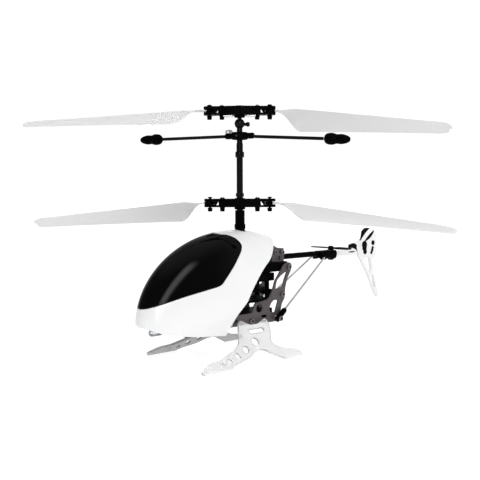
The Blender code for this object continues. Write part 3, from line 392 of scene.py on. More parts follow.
def plate(outline, thickness, rim=0, holes=(), placement=Matrix.Identity(4)):
    """A flat plate with rounded rims, mid-plane on the placement's origin."""
    curve = bpy.data.curves.new("plate", "CURVE")
    curve.dimensions = "2D"
    curve.fill_mode = "BOTH"
    curve.extrude = thickness / 2 - rim
    curve.bevel_depth = rim
    curve.bevel_resolution = 2
    curve.offset = -rim
    for loop, turn in [(outline, 1)] + [(hole, -1) for hole in holes]:
        if signed_area(loop) * turn < 0:
            loop = loop[::-1]
        spline = curve.splines.new("POLY")
        spline.points.add(len(loop) - 1)
        for point, place in zip(spline.points, loop):
            point.co = (place[0], place[1], 0, 1)
        spline.use_cyclic_u = True
    guide = linked("plate", curve)
    work = evaluated(guide)
    discard(guide)
    work.transform(placement)
    return clean(work)


def lathe(profile, corner=0, placement=Matrix.Identity(4), segments=56, closed=False):
    """A turned solid from a (radius, height) profile, with its corners eased."""
    if corner > 0:
        profile = rounded(profile, corner, 3, closed)
    work = bmesh.new()
    verts = [work.verts.new((p[0], 0, p[1])) for p in profile]
    edges = [work.edges.new(pair) for pair in zip(verts, verts[1:])]
    if closed:
        edges.append(work.edges.new((verts[-1], verts[0])))
    bmesh.ops.spin(work, geom=verts + edges, cent=(0, 0, 0), axis=(0, 0, 1), angle=2 * pi, steps=segments,
                   use_duplicate=False)
    clean(work)
    work.transform(placement)
    return work


def between(start, end):
    """Placement with +Z running from start to end."""
    run = Vector(end) - Vector(start)
    turn = Vector((0, 0, 1)).rotation_difference(run.normalized()).to_matrix().to_4x4()
    return Matrix.Translation(Vector(start)) @ turn


def rod(start, end, radius, corner=0, segments=32):
    length = (Vector(end) - Vector(start)).length
    return lathe([(0, length), (radius, length), (radius, 0), (0, 0)], corner, between(start, end), segments)


def block(low, high, edge=0, steps=2):
    low, high = Vector(low), Vector(high)
    work = bmesh.new()
    bmesh.ops.create_cube(work, size=1)
    bmesh.ops.scale(work, vec=high - low, verts=work.verts)
    bmesh.ops.translate(work, vec=(low + high) / 2, verts=work.verts)
    if edge > 0:
        bmesh.ops.bevel(work, geom=work.edges[:], offset=edge, segments=steps, profile=0.5, affect="EDGES")
    return clean(work)


def loft(rings):
    """A solid skinned over rings of corners, capped at both ends."""
    work = bmesh.new()
    rings = [[work.verts.new(corner) for corner in ring] for ring in rings]
    for inner, outer in zip(rings, rings[1:]):
        for j in range(len(inner)):
            k = (j + 1) % len(inner)
            work.faces.new((inner[j], inner[k], outer[k], outer[j]))
    for ring in (rings[0], rings[-1]):
        work.faces.new(ring)
    return clean(work)


def tube(points, radius, sides=4):
    """A round wire on a smooth curve through the points."""
    curve = bpy.data.curves.new("tube", "CURVE")
    curve.dimensions = "3D"
    curve.bevel_depth = radius
    curve.bevel_resolution = sides
    curve.use_fill_caps = True
    spline = curve.splines.new("POLY")
    route = flowing(points, 8)
    spline.points.add(len(route) - 1)
    for point, place in zip(spline.points, route):
        point.co = (*place, 1)
    guide = linked("tube", curve)
    work = evaluated(guide)
    discard(guide)
    return clean(work)


def merged(*works):
    """Several solids in one mesh, left as separate shells."""
    result = bmesh.new()
    for work in works:
        mesh = bpy.data.meshes.new("merged")
        work.to_mesh(mesh)
        work.free()
        result.from_mesh(mesh)
        bpy.data.meshes.remove(mesh)
    return result


def temporary(work, name):
    mesh = bpy.data.meshes.new(name)
    work.to_mesh(mesh)
    work.free()
    return linked(name, mesh)


def carve(work, *steps):
    """Cut, join or intersect a solid with others in turn: each step is (operation, solid)."""
    base = temporary(work, "base")
    tools = []
    for operation, tool in steps:
        tools.append(temporary(tool, "tool"))
        modifier = base.modifiers.new("Boolean", "BOOLEAN")
        modifier.operation = operation
        modifier.solver = "EXACT"
        modifier.object = tools[-1]
    result = evaluated(base)
    for obj in (base, *tools):
        discard(obj)
    return result


def soften(work, width, angle=32, steps=2):
    """Round the edges sharper than an angle."""
    bmesh.ops.remove_doubles(work, verts=work.verts, dist=0.004)
    obj = temporary(work, "soften")
    bevel = obj.modifiers.new("Bevel", "BEVEL")
    bevel.width = width
    bevel.segments = steps
    bevel.limit_method = "ANGLE"
    bevel.angle_limit = radians(angle)
    result = evaluated(obj)
    discard(obj)
    return result


def add(name, work, look, body="airframe", sharp=40, placement=AIRFRAME):
    """Place a solid, turn it into metres and let it ride on a body."""
    work.transform(placement)
    work.transform(Matrix.Scale(MM, 4))
    mesh = bpy.data.meshes.new(name)
    work.to_mesh(mesh)
    work.free()
    mesh.materials.append(look)
    mesh.shade_smooth()
    mesh.set_sharp_from_angle(angle=radians(sharp))
    obj = linked(name, mesh)
    weighted = obj.modifiers.new("WeightedNormal", "WEIGHTED_NORMAL")
    weighted.keep_sharp = True
    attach(obj, body)
    return obj


def stand_in(node, work, look, body="airframe", sharp=40, placement=AIRFRAME):
    """Add a solid that is shown in place of a CAD node."""
    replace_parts(add(node + "_fine", work, look, body, sharp, placement), node)


def cross_recess(height, size, depth):
    """The cutter of a cross-head driver's mark in a face at a height."""
    arms = [block((-size, -0.16, -depth), (size, 0.16, 0.4)), block((-0.16, -size, -depth), (0.16, size, 0.4))]
    work = carve(arms[0], ("UNION", arms[1]))
    work.transform(Matrix.Translation((0, 0, height)))
    return work


def refined(node, look, width, body="airframe"):
    """A CAD node's own shape with its edges rounded, standing for the node."""
    work = bmesh.new()
    work.from_mesh(frame["nodes"][node].data)
    work.transform(Matrix.Scale(1 / MM, 4))
    bmesh.ops.remove_doubles(work, verts=work.verts, dist=1e-3)
    bmesh.ops.dissolve_limit(work, angle_limit=radians(1), verts=work.verts, edges=work.edges)
    stand_in(node, soften(work, width), look, body, placement=Matrix.Identity(4))


# ---- rotor heads

HUB_HALF_LENGTH = 15.6
HUB_HEIGHT = 3.7
HUB_HALF = HUB_HEIGHT / 2
HUB_HALF_WIDTH = 2.7
BODY_PIN_R = 7.65
PEG_BOTTOM = -HUB_HALF - 1.9
SLOT_HALF = 0.65
SLOT_INNER_R = 11
PIN_R = 0.55
PIN_CLEAR_R = 0.85


def hub_plan():
    points = []
    for side in (1, -1):
        centre = side * (HUB_HALF_LENGTH - HUB_HALF_WIDTH)
        points.append((side * 9.6, -side * 2.3))
        for i in range(17):
            angle = radians(-90 + 11.25 * i)
            points.append((centre + side * HUB_HALF_WIDTH * cos(angle), side * HUB_HALF_WIDTH * sin(angle)))
        points += [(side * 9.6, side * 2.3), (side * 4.5, side * 3.3), (-side * 4.5, side * 3.3)]
    return points


def hub_side():
    quarter = [(HUB_HALF_LENGTH + 1, -HUB_HALF), (HUB_HALF_LENGTH + 1, -SLOT_HALF), (SLOT_INNER_R, -SLOT_HALF),
               (SLOT_INNER_R, SLOT_HALF), (HUB_HALF_LENGTH + 1, SLOT_HALF), (HUB_HALF_LENGTH + 1, HUB_HALF)]
    return quarter + [(-x, -z) for x, z in quarter]


def rotor_head(prefix, height, bore, blind_top, body):
    """The rotor bar: forks for the blades, windows, four pegs, stiffening ribs and a mast boss."""
    windows = [rounded([(side * 9.2, -1), (side * 10.4, -1), (side * 9.2, 0.9)], 0.2) for side in (1, -1)]
    bar = plate(hub_side(), 2 * HUB_HALF_WIDTH + 2, 0, windows, ACROSS)
    steps = [("INTERSECT", plate(hub_plan(), HUB_HEIGHT + 2))]
    for side in (1, -1):
        x = side * BODY_PIN_R
        steps.append(("UNION", lathe([(0, HUB_HALF + 0.35), (1.1, HUB_HALF + 0.35), (1.1, 0), (1.15, -HUB_HALF),
                                      (0.95, PEG_BOTTOM), (0, PEG_BOTTOM)], 0, Matrix.Translation((x, 0, 0)))))
    steps.append(("UNION", lathe([(0, HUB_HALF + 0.3), (2.1, HUB_HALF + 0.3), (2.4, HUB_HALF), (2.4, -HUB_HALF),
                                  (2.3, -HUB_HALF - 1), (0, -HUB_HALF - 1)])))
    for side in (1, -1):
        for y in (1.7, -1.7):
            low, high = sorted((side * 3.2, side * 8.6))
            steps.append(("DIFFERENCE", block((low, y - 0.5, HUB_HALF - 0.35), (high, y + 0.5, HUB_HALF + 0.3))))
        for face in (2.75, -2.75):
            steps.append(("DIFFERENCE", block((min(side * 4.4, side * 6.2), face - 0.3, -0.9),
                                              (max(side * 4.4, side * 6.2), face + 0.3, 0.9))))
    top = HUB_HALF + 2 if blind_top is None else blind_top
    steps.append(("DIFFERENCE", rod((0, 0, -HUB_HALF - 2), (0, 0, top), bore)))
    for side in (1, -1):
        x = side * GRIP_PIN_R
        steps.append(("DIFFERENCE", rod((x, 0, -5), (x, 0, 5), PIN_CLEAR_R, 0, 24)))
    if blind_top is not None:
        for side in (1, -1):
            low, high = sorted((side * 3, side * 7))
            add(f"{prefix}_keeper_{'a' if side > 0 else 'b'}", block((low, -1.9, -HUB_HALF - 0.75),
                (high, 1.9, -HUB_HALF - 0.05), 0.1), STEEL, body, placement=on_mast(height))
    work = soften(carve(bar, *steps), 0.13)
    stand_in(prefix + "_hub", work, BLACK_NYLON, body, placement=on_mast(height))
    for label, side in (("a", 1), ("b", -1)):
        pin = lathe([(0, HUB_HALF + 0.85), (0.8, HUB_HALF + 0.8), (1.1, HUB_HALF + 0.32), (PIN_R, HUB_HALF + 0.3),
                     (PIN_R, -HUB_HALF - 0.3), (1.12, -HUB_HALF - 0.3), (0.95, PEG_BOTTOM), (0, PEG_BOTTOM)], 0.1)
        pin = carve(pin, ("DIFFERENCE", cross_recess(HUB_HALF + 0.85, 0.55, 0.35)))
        pin.transform(Matrix.Translation((side * GRIP_PIN_R, 0, 0)))
        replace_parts(add(f"{prefix}_pin_{label}_fine", pin, BLACK_NYLON, body, placement=on_mast(height)),
                    f"{prefix}_blade_pin_{label}")
        cap = lathe([(0, 0.5), (0.55, 0.45), (0.8, 0.12), (0.8, 0), (0, 0)], 0.1)
        cap = carve(cap, ("DIFFERENCE", cross_recess(0.5, 0.42, 0.3)))
        cap.transform(Matrix.Translation((side * BODY_PIN_R, 0, HUB_HALF + 0.36)))
        add(f"{prefix}_body_screw_{label}", cap, STEEL, body, placement=on_mast(height))


# ---- blades

ROTOR_RADIUS = 92.2
TIP_LENGTH = 6
TIP_START_R = ROTOR_RADIUS - TIP_LENGTH
BLADE_FULL_R = 27
BLADE_THICK = 0.7
TONGUE_END_R = 16.5
TRAIL_START_R = 15.2
TONGUE_HALF = 2


def blend(value, start, end):
    t = min(max((value - start) / (end - start), 0), 1)
    return t * t * (3 - 2 * t)


def blade_edges(radius):
    """Depths of the leading and trailing edges at a radius."""
    taper = max((radius - BLADE_FULL_R) / (ROTOR_RADIUS - BLADE_FULL_R), 0)
    lead = TONGUE_HALF + (1.2 - 0.8 * taper) * blend(radius, TONGUE_END_R, 24)
    flare = min(max((radius - TRAIL_START_R) / (BLADE_FULL_R - TRAIL_START_R), 0), 1)
    trail = TONGUE_HALF + (17.2 - 8.8 * taper) * flare
    if radius < GRIP_PIN_R:
        share = sqrt(max(1 - ((GRIP_PIN_R - radius) / 1.7) ** 2, 0))
        lead, trail = lead * share, trail * share
    if radius > TIP_START_R:
        t = (radius - TIP_START_R) / TIP_LENGTH
        chord = lead + trail
        lead -= 0.5 * chord * (1 - sqrt(max(1 - t * t, 0)))
        trail -= 0.14 * chord * t ** 4
    return lead, trail


def blade_work(trail_side, droop, nose_up):
    """A twisted blade about its pin, lofted through rounded, cambered sections; angles in degrees."""
    stations = [11.42, 11.6, 12, 12.5] + [GRIP_PIN_R + 0.7 * i for i in range(5)]
    stations += [16.6 + 0.6 * i for i in range(20)] + [28.8 + 2.4 * i for i in range(24)]
    stations += [TIP_START_R + TIP_LENGTH * sin(radians(6 * i)) for i in range(16)]
    across = 20
    rings = []
    for radius in stations:
        lead, trail = blade_edges(radius)
        grow = blend(radius, TONGUE_END_R, 25)
        pitch = radians(grow * (20.5 - 5.5 * (radius - 25) / 70 + nose_up))
        drop = tan(radians(droop)) * max(radius - 15.5, 0)
        thin = 1 - 0.25 * blend(radius, 25, ROTOR_RADIUS)
        ring = []
        for j in range(2 * across):
            turn = pi * j / across
            share = (1 - cos(turn)) / 2
            chord = lead - share * (lead + trail)
            edge = sqrt(max(1 - abs(2 * share - 1) ** 6, 0))
            skin = (1 if j <= across else -1) * BLADE_THICK / 2 * thin * edge
            lift = 0.9 * grow * 4 * share * (1 - share) + skin
            y = -trail_side * (chord * cos(pitch) - lift * sin(pitch))
            z = chord * sin(pitch) + lift * cos(pitch) - drop
            ring.append((radius - GRIP_PIN_R, y, z))
        rings.append(ring)
    return loft(rings)


def blade(name, height, half_turn, trail_side, droop, nose_up, grip):
    """One blade with an eyelet round its pin and a black grip, reaching grip past the pin, round its root."""
    work = blade_work(trail_side, droop, nose_up)
    eyelet = lathe([(1.8, 0.48), (1.8, -0.48), (0.5, -0.48), (0.5, 0.48)], 0.1, closed=True)
    work = carve(work, ("UNION", eyelet), ("DIFFERENCE", rod((0, 0, -3), (0, 0, 3), PIN_CLEAR_R, 0, 32)))
    work.transform(Matrix.Rotation(half_turn, 4, "Z") @ Matrix.Translation((GRIP_PIN_R, 0, 0)))
    stand_in(name, work, BLADE_WHITE, name, 50, on_mast(height))
    bend = [(2.03 * cos(radians(a)), 2.03 * sin(radians(a))) for a in range(90, 271, 12)]
    sleeve = plate([(grip, -2.03), (grip, 2.03)] + bend, 1.16, 0.08, [circle((0, 0), PIN_CLEAR_R, 28)])
    sleeve.transform(Matrix.Rotation(half_turn, 4, "Z") @ Matrix.Translation((GRIP_PIN_R, 0, 0)))
    add(name + "_grip", sleeve, BLACK_NYLON, name, placement=on_mast(height))


def rotors():
    rotor_head("lower", LOWER_HUB_Z, 1.7, None, "lower_rotor")
    rotor_head("upper", UPPER_HUB_Z, 1.7, 1.2, "upper_head")
    for name, height, half_turn, trail_side, droop, nose_up, grip in (
            ("lower_blade_a", LOWER_HUB_Z, 0, -1, 8.4, -4, 1.2),
            ("lower_blade_b", LOWER_HUB_Z, pi, -1, 5.8, 3.5, 2.3),
            ("upper_blade_a", UPPER_HUB_Z, 0, 1, 5.1, 0, 2.3),
            ("upper_blade_b", UPPER_HUB_Z, pi, 1, 3.5, 0, 1.2)):
        blade(name, height, half_turn, trail_side, droop, nose_up, grip)


# ---- shafts, flybar, gears

def shafts():
    profile = [(0, 106.6), (0.9, 106.4), (1.25, 105.6), (0.9, 104.9), (0.9, 102.4)]
    profile += [(2.25 * sin(radians(a)), 100.5 + 2.25 * cos(radians(a)))
                for a in range(32, 150, 9)]
    profile += [(1.25, 98.4), (1.25, 92.3), (1.45, 91.9), (1.45, 88.6), (1.95, 88.2), (1.95, 86), (1.4, 85.9),
                (1.4, 70.6), (1.8, 70.4), (1.8, 68.9), (1.4, 68.9), (1.4, 16), (0, 16)]
    across = Matrix.Rotation(FLYBAR_HEADING - HEADING, 4, "Z")
    hole = rod((0, -3, FLYBAR_Z), (0, 3, FLYBAR_Z), PIN_CLEAR_R, 0, 24)
    hole.transform(across)
    stud = lathe([(0, 4.5), (0.75, 4.4), (1.05, 3.9), (1.05, 3.2), (0.7, 2.9), (0.7, 1.5), (0, 1.5)], 0.12,
                 Matrix.Translation((0, 0, 100.2)) @ LIE_PORT, 32)
    work = carve(lathe(profile, 0.12), ("UNION", stud), ("DIFFERENCE", hole))
    stand_in("inner_shaft", work, SHAFT_DARK, "mast", placement=on_mast(0))
    sleeve = [(2.1, 63), (2.1, 57.1), (2.4, 56.9), (2.4, 54.9), (2.1, 54.7), (2.1, 26), (1.7, 26), (1.7, 63)]
    stand_in("outer_shaft", lathe(sleeve, 0.08, closed=True), BLACK_NYLON, "lower_rotor")


def flybar():
    ring = lathe([(3.3, 1.6), (3.6, 1.2), (3.6, -1.2), (3.3, -1.6), (2.2, -1.6), (2.2, 1.6)], 0.2, closed=True)
    steps = []
    for side in (1, -1):
        steps.append(("UNION", lathe([(0, 6.6), (1.05, 6.6), (1.3, 6.2), (1.3, 3), (0, 3)], 0.1,
                                     Matrix.Rotation(side * radians(90), 4, "Y"), 32)))
    steps.append(("DIFFERENCE", rod((0, -6, 0), (0, 6, 0), PIN_CLEAR_R, 0, 24)))
    steps.append(("DIFFERENCE", lathe([(2.2, 4), (2.2, -4), (0, -4), (0, 4)], 0, closed=True)))
    place = on_mast(FLYBAR_Z, FLYBAR_HEADING)
    stand_in("flybar_hub", soften(carve(ring, *steps), 0.1), BLACK_NYLON, "flybar", placement=place)
    eye = plate(slot((0, 0), 1.7, 0.95), 0.8, 0.12, [circle((-0.55, 0), 0.45, 24)])
    eye.transform(Matrix.Translation((-4.9, 0, 1.85)) @ ACROSS)
    add("link_eye", eye, STEEL, "flybar", placement=place)
    lobes = flowing([(0, 48.6), (0.9, 48.3), (1.6, 47.1), (2, 45.6), (2.1, 44.5), (2, 43.4), (1.98, 42.9),
                     (2.15, 42.2), (2.45, 41.2), (2.45, 39.9), (2.1, 38.6), (1.3, 37.8), (0, 37.55)], 4)
    for label, side, droop in (("a", 1, 3.4), ("b", -1, 0.5)):
        lie = Matrix.Rotation(side * radians(90 + droop), 4, "Y")
        arm = lathe([(0, 37.3), (0.72, 37.3), (0.72, 6.9), (0, 6.9)], 0.1, lie, 32)
        stand_in("flybar_arm_" + label, arm, SHAFT_DARK, "flybar", placement=place)
        stand_in("flybar_weight_" + label, lathe(lobes, 0, lie), BLACK_NYLON, "flybar", placement=place)
    pin = lathe([(0, 4.3), (0.5, 4.25), (0.55, 4.1), (0.55, -4.1), (0.5, -4.25), (0, -4.3)], 0, LIE_NOSE, 32)
    stand_in("flybar_pivot_pin", pin, STEEL_DARK, "mast", placement=place)


MODULE = 0.4375
MAIN_TEETH = 48
PINION_TEETH = 8


def gear_outline(teeth, turn):
    """Narrow teeth with curved flanks."""
    pitch_r = teeth * MODULE / 2
    tip, root = pitch_r + 0.62 * MODULE, pitch_r - 0.95 * MODULE
    points = []
    for i in range(teeth):
        for share, depth in ((-0.25, 0), (-0.21, 0.06), (-0.17, 0.45), (-0.12, 0.85), (-0.085, 1), (0.085, 1),
                             (0.12, 0.85), (0.17, 0.45), (0.21, 0.06), (0.25, 0)):
            angle = turn + (i + share) * 2 * pi / teeth
            radius = root + (tip - root) * depth
            points.append((radius * cos(angle), radius * sin(angle)))
    return points


def gears():
    for name, height, bore, body in (("upper_gear", 28.6, 2.4, "lower_rotor"), ("lower_gear", 24, 1.7, "mast")):
        holes = [circle((0, 0), bore)]
        for i in range(6):
            angle = radians(60 * i + 30)
            holes.append(circle((6.2 * cos(angle), 6.2 * sin(angle)), 1.9, 32))
        work = plate(gear_outline(MAIN_TEETH, -HEADING), 1, 0.06, holes)
        hub = lathe([(3.5, 0.5), (3.5, 0.85), (bore, 0.85), (bore, 0.5)], 0.08, closed=True)
        stand_in(name, merged(work, hub), GEAR_BLACK, body, placement=on_mast(height))
    for side, label, centre, height in ((1, "left", LEFT_MOTOR, 28.6), (-1, "right", RIGHT_MOTOR, 24)):
        turn = atan2(-centre.y, -centre.x)
        work = plate(gear_outline(PINION_TEETH, turn), 1.6, 0.08, [circle((0, 0), 0.5, 24)])
        work.transform(Matrix.Translation((0, 0, height)))
        spindle = rod((0, 0, height - 0.8), (0, 0, 30.9), 0.5, 0.1)
        work = merged(work, spindle)
        work.transform(Matrix.Translation((centre.x, centre.y, 0)))
        stand_in("pinion_front_" + label, work, BRASS, label + "_pinion")


# ---- canopy

CANOPY_CENTRE = Vector((0, -5, 18))
CANOPY_RADII = Vector((16.5, 47, 36.6))
CANOPY_THICK = 0.9
TUCK_START = (-50, 14.5)      # the crease below which the flanks draw in, as (Y, Z) at its two ends
TUCK_END = (2, 24.5)
TUCK_SHARE = 0.022              # inward share of the half-width for each millimetre below the crease


def ellipsoid_skin():
    """The lower front part of an ellipsoid, thickened inwards; the poles lie on the nose axis."""
    work = bmesh.new()
    bmesh.ops.create_uvsphere(work, u_segments=128, v_segments=96, radius=1, matrix=LIE_NOSE)
    bmesh.ops.scale(work, vec=CANOPY_RADII, verts=work.verts)
    bmesh.ops.translate(work, vec=CANOPY_CENTRE, verts=work.verts)
    for point, normal in (((0, 0, 6), (0, 0, -1)), ((0, 20, 0), (0, 1, 0))):
        bmesh.ops.bisect_plane(work, geom=work.verts[:] + work.edges[:] + work.faces[:], dist=1e-5, plane_co=point,
                               plane_no=normal, clear_outer=True)
    obj = temporary(work, "skin")
    solid = obj.modifiers.new("Solidify", "SOLIDIFY")
    solid.thickness = CANOPY_THICK
    solid.offset = -1
    result = evaluated(obj)
    discard(obj)
    return result


def screen_outline(inset):
    """Windscreen outline in side view: a swept sill, a rounded heel, the rear post and the roof edge."""
    sill = [(-60, 22.6), (-51.2, 24.9), (-45, 27), (-36.7, 29.6), (-29, 31.3), (-22.5, 32.6)]
    post = [(-20.2, 33.5), (-18.6, 35), (-14.6, 38.9), (-10.4, 43.1), (-7.2, 46.6), (-6.2, 48.9), (-7.6, 51.4),
            (-10.4, 52.9), (-14.8, 53.9), (-16.5, 58)]
    loop = flowing(sill + post, 6) + [Vector((-60, 58))]
    if inset == 0:
        return loop
    moved = []
    for i, point in enumerate(loop):
        run = loop[(i + 1) % len(loop)] - loop[i - 1]
        normal = Vector((run.y, -run.x)).normalized()
        moved.append(point - normal * inset)
    return moved


def tuck(work):
    """Draw the flanks in below the crease, more the lower they reach."""
    rise = (TUCK_END[1] - TUCK_START[1]) / (TUCK_END[0] - TUCK_START[0])
    for vert in work.verts:
        crease = TUCK_START[1] + rise * (vert.co.y - TUCK_START[0])
        below = crease - vert.co.z
        if below > 0:
            strength = blend(vert.co.y, -46, -20)
            vert.co.x *= 1 - TUCK_SHARE * below * strength


def canopy():
    below = flowing([(-60, 23.5), (-53.5, 20), (-51.5, 18.3), (-49, 16.9), (-46, 15.8), (-42, 14.8),
                     (-37, 13.9), (-20, 12.05), (30, 6.6)], 5)
    below += [Vector((30, -5)), Vector((-60, -5))]
    behind = flowing([(-18.4, -5), (-17.9, 10), (-15.7, 16.7), (-13.3, 21.2), (-9, 25.3), (-6.5, 28.9),
                      (-3.3, 32.8), (1.7, 37.8), (7.8, 42.2), (11.6, 46), (14.3, 49.2), (15.3, 52),
                      (15.5, 60)], 6)
    behind += [Vector((40, 60)), Vector((40, -5))]
    shell = carve(ellipsoid_skin(), ("DIFFERENCE", plate(screen_outline(0), 50, 0, (), UPRIGHT)),
                  ("DIFFERENCE", plate(below, 50, 0, (), UPRIGHT)),
                  ("DIFFERENCE", plate(behind, 50, 0, (), UPRIGHT)),
                  ("DIFFERENCE", rod((0, 0, 45), (0, 0, 60), 2.9, 0, 48)))
    shell = soften(shell, 0.16, 50)
    tuck(shell)
    stand_in("canopy_shell", shell, CANOPY_WHITE, sharp=44)
    screen = carve(ellipsoid_skin(), ("INTERSECT", plate(screen_outline(0.22), 50, 0, (), UPRIGHT)))
    stand_in("windscreen", soften(screen, 0.14, 50), SCREEN_BLACK, sharp=44)


# ---- frame

EAR_BOLT = (22.3, 37)
STRUT_BOLT = (18.4, 25)
FOOT_BOLT = (0.5, 15)
SOCKET_BOLT = (14.4, 14.9)
PEG_BAR = (-16, 16.2)
BLOCK_BOLTS = (("front", (16.6, 43.9)), ("rear", (20.7, 43.7)))
PLATE_X = 7
PLATE_THICK = 0.8


def side_plates():
    outline = [(-24, 13.6), (-2, 13.5), (12, 13.1), (16.4, 13.3), (17, 16.5), (18.2, 20.8), (19.9, 23.4),
               (20.2, 27.6), (21.4, 31.8), (23.4, 35), (24.3, 37.2), (23.8, 38.6), (22.4, 39.2), (20.8, 38.9),
               (18.9, 37.9), (16.4, 34.4), (14, 31.2), (12.9, 28.1), (10.8, 24.4), (9.2, 23.3), (4.4, 23.3),
               (2.4, 22.3), (1.4, 20.2), (0.7, 18.4), (-24, 18.4)]
    windows = [[(15.4, 31.8), (14.6, 29.8), (14.4, 27.6), (18.6, 28.4), (19.4, 31), (20.8, 34), (21.2, 35),
                (20.2, 34.9), (17.4, 33.4)],
               [(11.2, 17.6), (14.1, 17.3), (15.5, 21.2), (15.9, 22.5), (13.4, 22.9), (11.8, 21.7), (10.6, 19.4)]]
    holes = [rounded(window, 0.5) for window in windows]
    holes += [slot((7.6, 16.3), 1.6, 0.6), circle((4.9, 20), 1.8)]
    holes += [circle(place, PIN_CLEAR_R, 28) for place in (EAR_BOLT, STRUT_BOLT, FOOT_BOLT, SOCKET_BOLT, PEG_BAR)]
    holes += [circle((y, 16), 0.55, 20) for y in (-20, -12, -8)]
    for label, side in (("left", 1), ("right", -1)):
        placement = Matrix.Translation((side * PLATE_X, 0, 0)) @ UPRIGHT
        work = plate(rounded(outline, 0.7), PLATE_THICK, 0.1, holes, placement)
        stand_in("side_plate_" + label, work, PLATE_GREY)


def bolt(name, place, half_length, head_r=1.15):
    """A through bolt along X: at each end a bright collar round a cross-head in dark steel, whose darkness is painted
    shade standing in for a deep recess.
    """
    top = half_length + 0.7
    core = 0.6 * head_r
    profile = [(0, half_length + 0.2), (core, half_length + 0.2), (core, top - 0.12), (core + 0.08, top - 0.04),
               (0.88 * head_r, top - 0.16), (head_r, half_length + 0.24), (head_r, half_length), (PIN_R, half_length)]
    profile += [(r, -z) for r, z in reversed(profile)]
    turn = Matrix.Translation((0, *place)) @ LIE_PORT
    stand_in(name, lathe(profile, 0.04, turn, 40), BOLT_STEEL)
    heads = []
    for flip in (Matrix.Identity(4), Matrix.Rotation(pi, 4, "X")):
        head = lathe([(0, top - 0.02), (0.7 * core, top - 0.07), (core - 0.05, top - 0.2),
                      (core - 0.05, half_length + 0.22), (0, half_length + 0.22)], 0.04, segments=40)
        head = carve(head, ("DIFFERENCE", cross_recess(top, 0.48 * head_r, 0.4)))
        head.transform(turn @ flip)
        heads.append(head)
    # Dark steel heads: painted shade of the deep recess at each bolt end, over a carved cross recess
    add(name + "_drive", merged(*heads), STEEL_DARK)


def frame_pieces():
    outer = PLATE_X + PLATE_THICK / 2 + 0.3
    for name, place, half in (("ear_bolt", EAR_BOLT, outer), ("strut_bolt", STRUT_BOLT, outer),
                              ("foot_bolt", FOOT_BOLT, outer), ("socket_bolt", SOCKET_BOLT, 10.8)):
        bolt(name, place, half)
    for label, place in BLOCK_BOLTS:
        bolt("block_bolt_" + label, place, 4.8, 1.05)
    for node, look, width in (("upper_deck", BLACK_NYLON, 0.25), ("motor_deck", BLACK_NYLON, 0.2),
                              ("base_block", BLACK_NYLON, 0.12), ("boom_block", PLATE_GREY, 0.18),
                              ("charge_socket", BLACK_NYLON, 0.08), ("switch_housing", BLACK_NYLON, 0.1)):
        refined(node, look, width)
    refined("power_switch", GEAR_BLACK, 0.12, "switch")
    tower = [(2.9, 50.6), (3.4, 46), (5, 40.4), (5, 39.55), (2.4, 39.55), (2.4, 50.6)]
    ribs = [block((2.5, -0.35, 39.7), (4.6, 0.35, 46.2)) for _ in range(4)]
    for i, rib in enumerate(ribs):
        rib.transform(Matrix.Rotation(radians(45 + 90 * i), 4, "Z"))
    work = carve(lathe(tower, 0.1, closed=True), *[("UNION", rib) for rib in ribs])
    stand_in("mast_tower", soften(work, 0.1), BLACK_NYLON)
    spacer = lathe([(1.5, 6.2), (1.5, -6.2), (PIN_CLEAR_R, -6.2), (PIN_CLEAR_R, 6.2)], 0.12,
                   Matrix.Translation((0, *STRUT_BOLT)) @ LIE_PORT, closed=True)
    stand_in("rear_spacer", spacer, BLACK_NYLON)
    bar = rod((-14.4, *PEG_BAR), (14.4, *PEG_BAR), PIN_R, 0.12)
    stand_in("canopy_peg_bar", bar, STEEL)


def motors():
    """Can motors with a rolled rim, a black end cap, brush tabs and leads."""
    for label, centre, look in (("left", LEFT_MOTOR, WIRE_RED), ("right", RIGHT_MOTOR, WIRE_BLUE)):
        place = Matrix.Translation((centre.x, centre.y, 0))
        can = lathe([(0, 46.5), (3, 46.5), (3.5, 46.1), (3.5, 43.6), (3.36, 43.45), (3.36, 43.2), (3.5, 43.05),
                     (3.5, 31.6), (3.1, 31.2), (0, 31.2)], 0.1, place)
        stand_in("motor_front_" + label, can, MOTOR_CAN)
        cap = lathe([(0, 47.2), (1, 47.2), (1, 46.75), (2.9, 46.75), (2.9, 46.52), (0, 46.52)], 0.08, place)
        add(f"motor_cap_{label}", cap, BLACK_NYLON)
        for i, wire in enumerate((look, WIRE_BLACK)):
            side = 1 if i == 0 else -1
            tab = block((-0.5, side * 2 - 0.15, 46.6), (0.5, side * 2 + 0.15, 47.9), 0.05)
            tab.transform(place)
            add(f"brush_tab_{label}_{i}", tab, BRASS)
            x, y = centre.x, centre.y + side * 2
            route = [(x, y - 0.3, 47.3), (x, y - 1.6, 47.2), (x * 0.9, centre.y - 5.2 - i, 44),
                     (x * 0.85, centre.y - 6 - i, 36), (x * 0.8, -19.4 - 1.2 * i, 27.2)]
            add(f"motor_lead_{label}_{i}", tube(route, 0.33), wire)


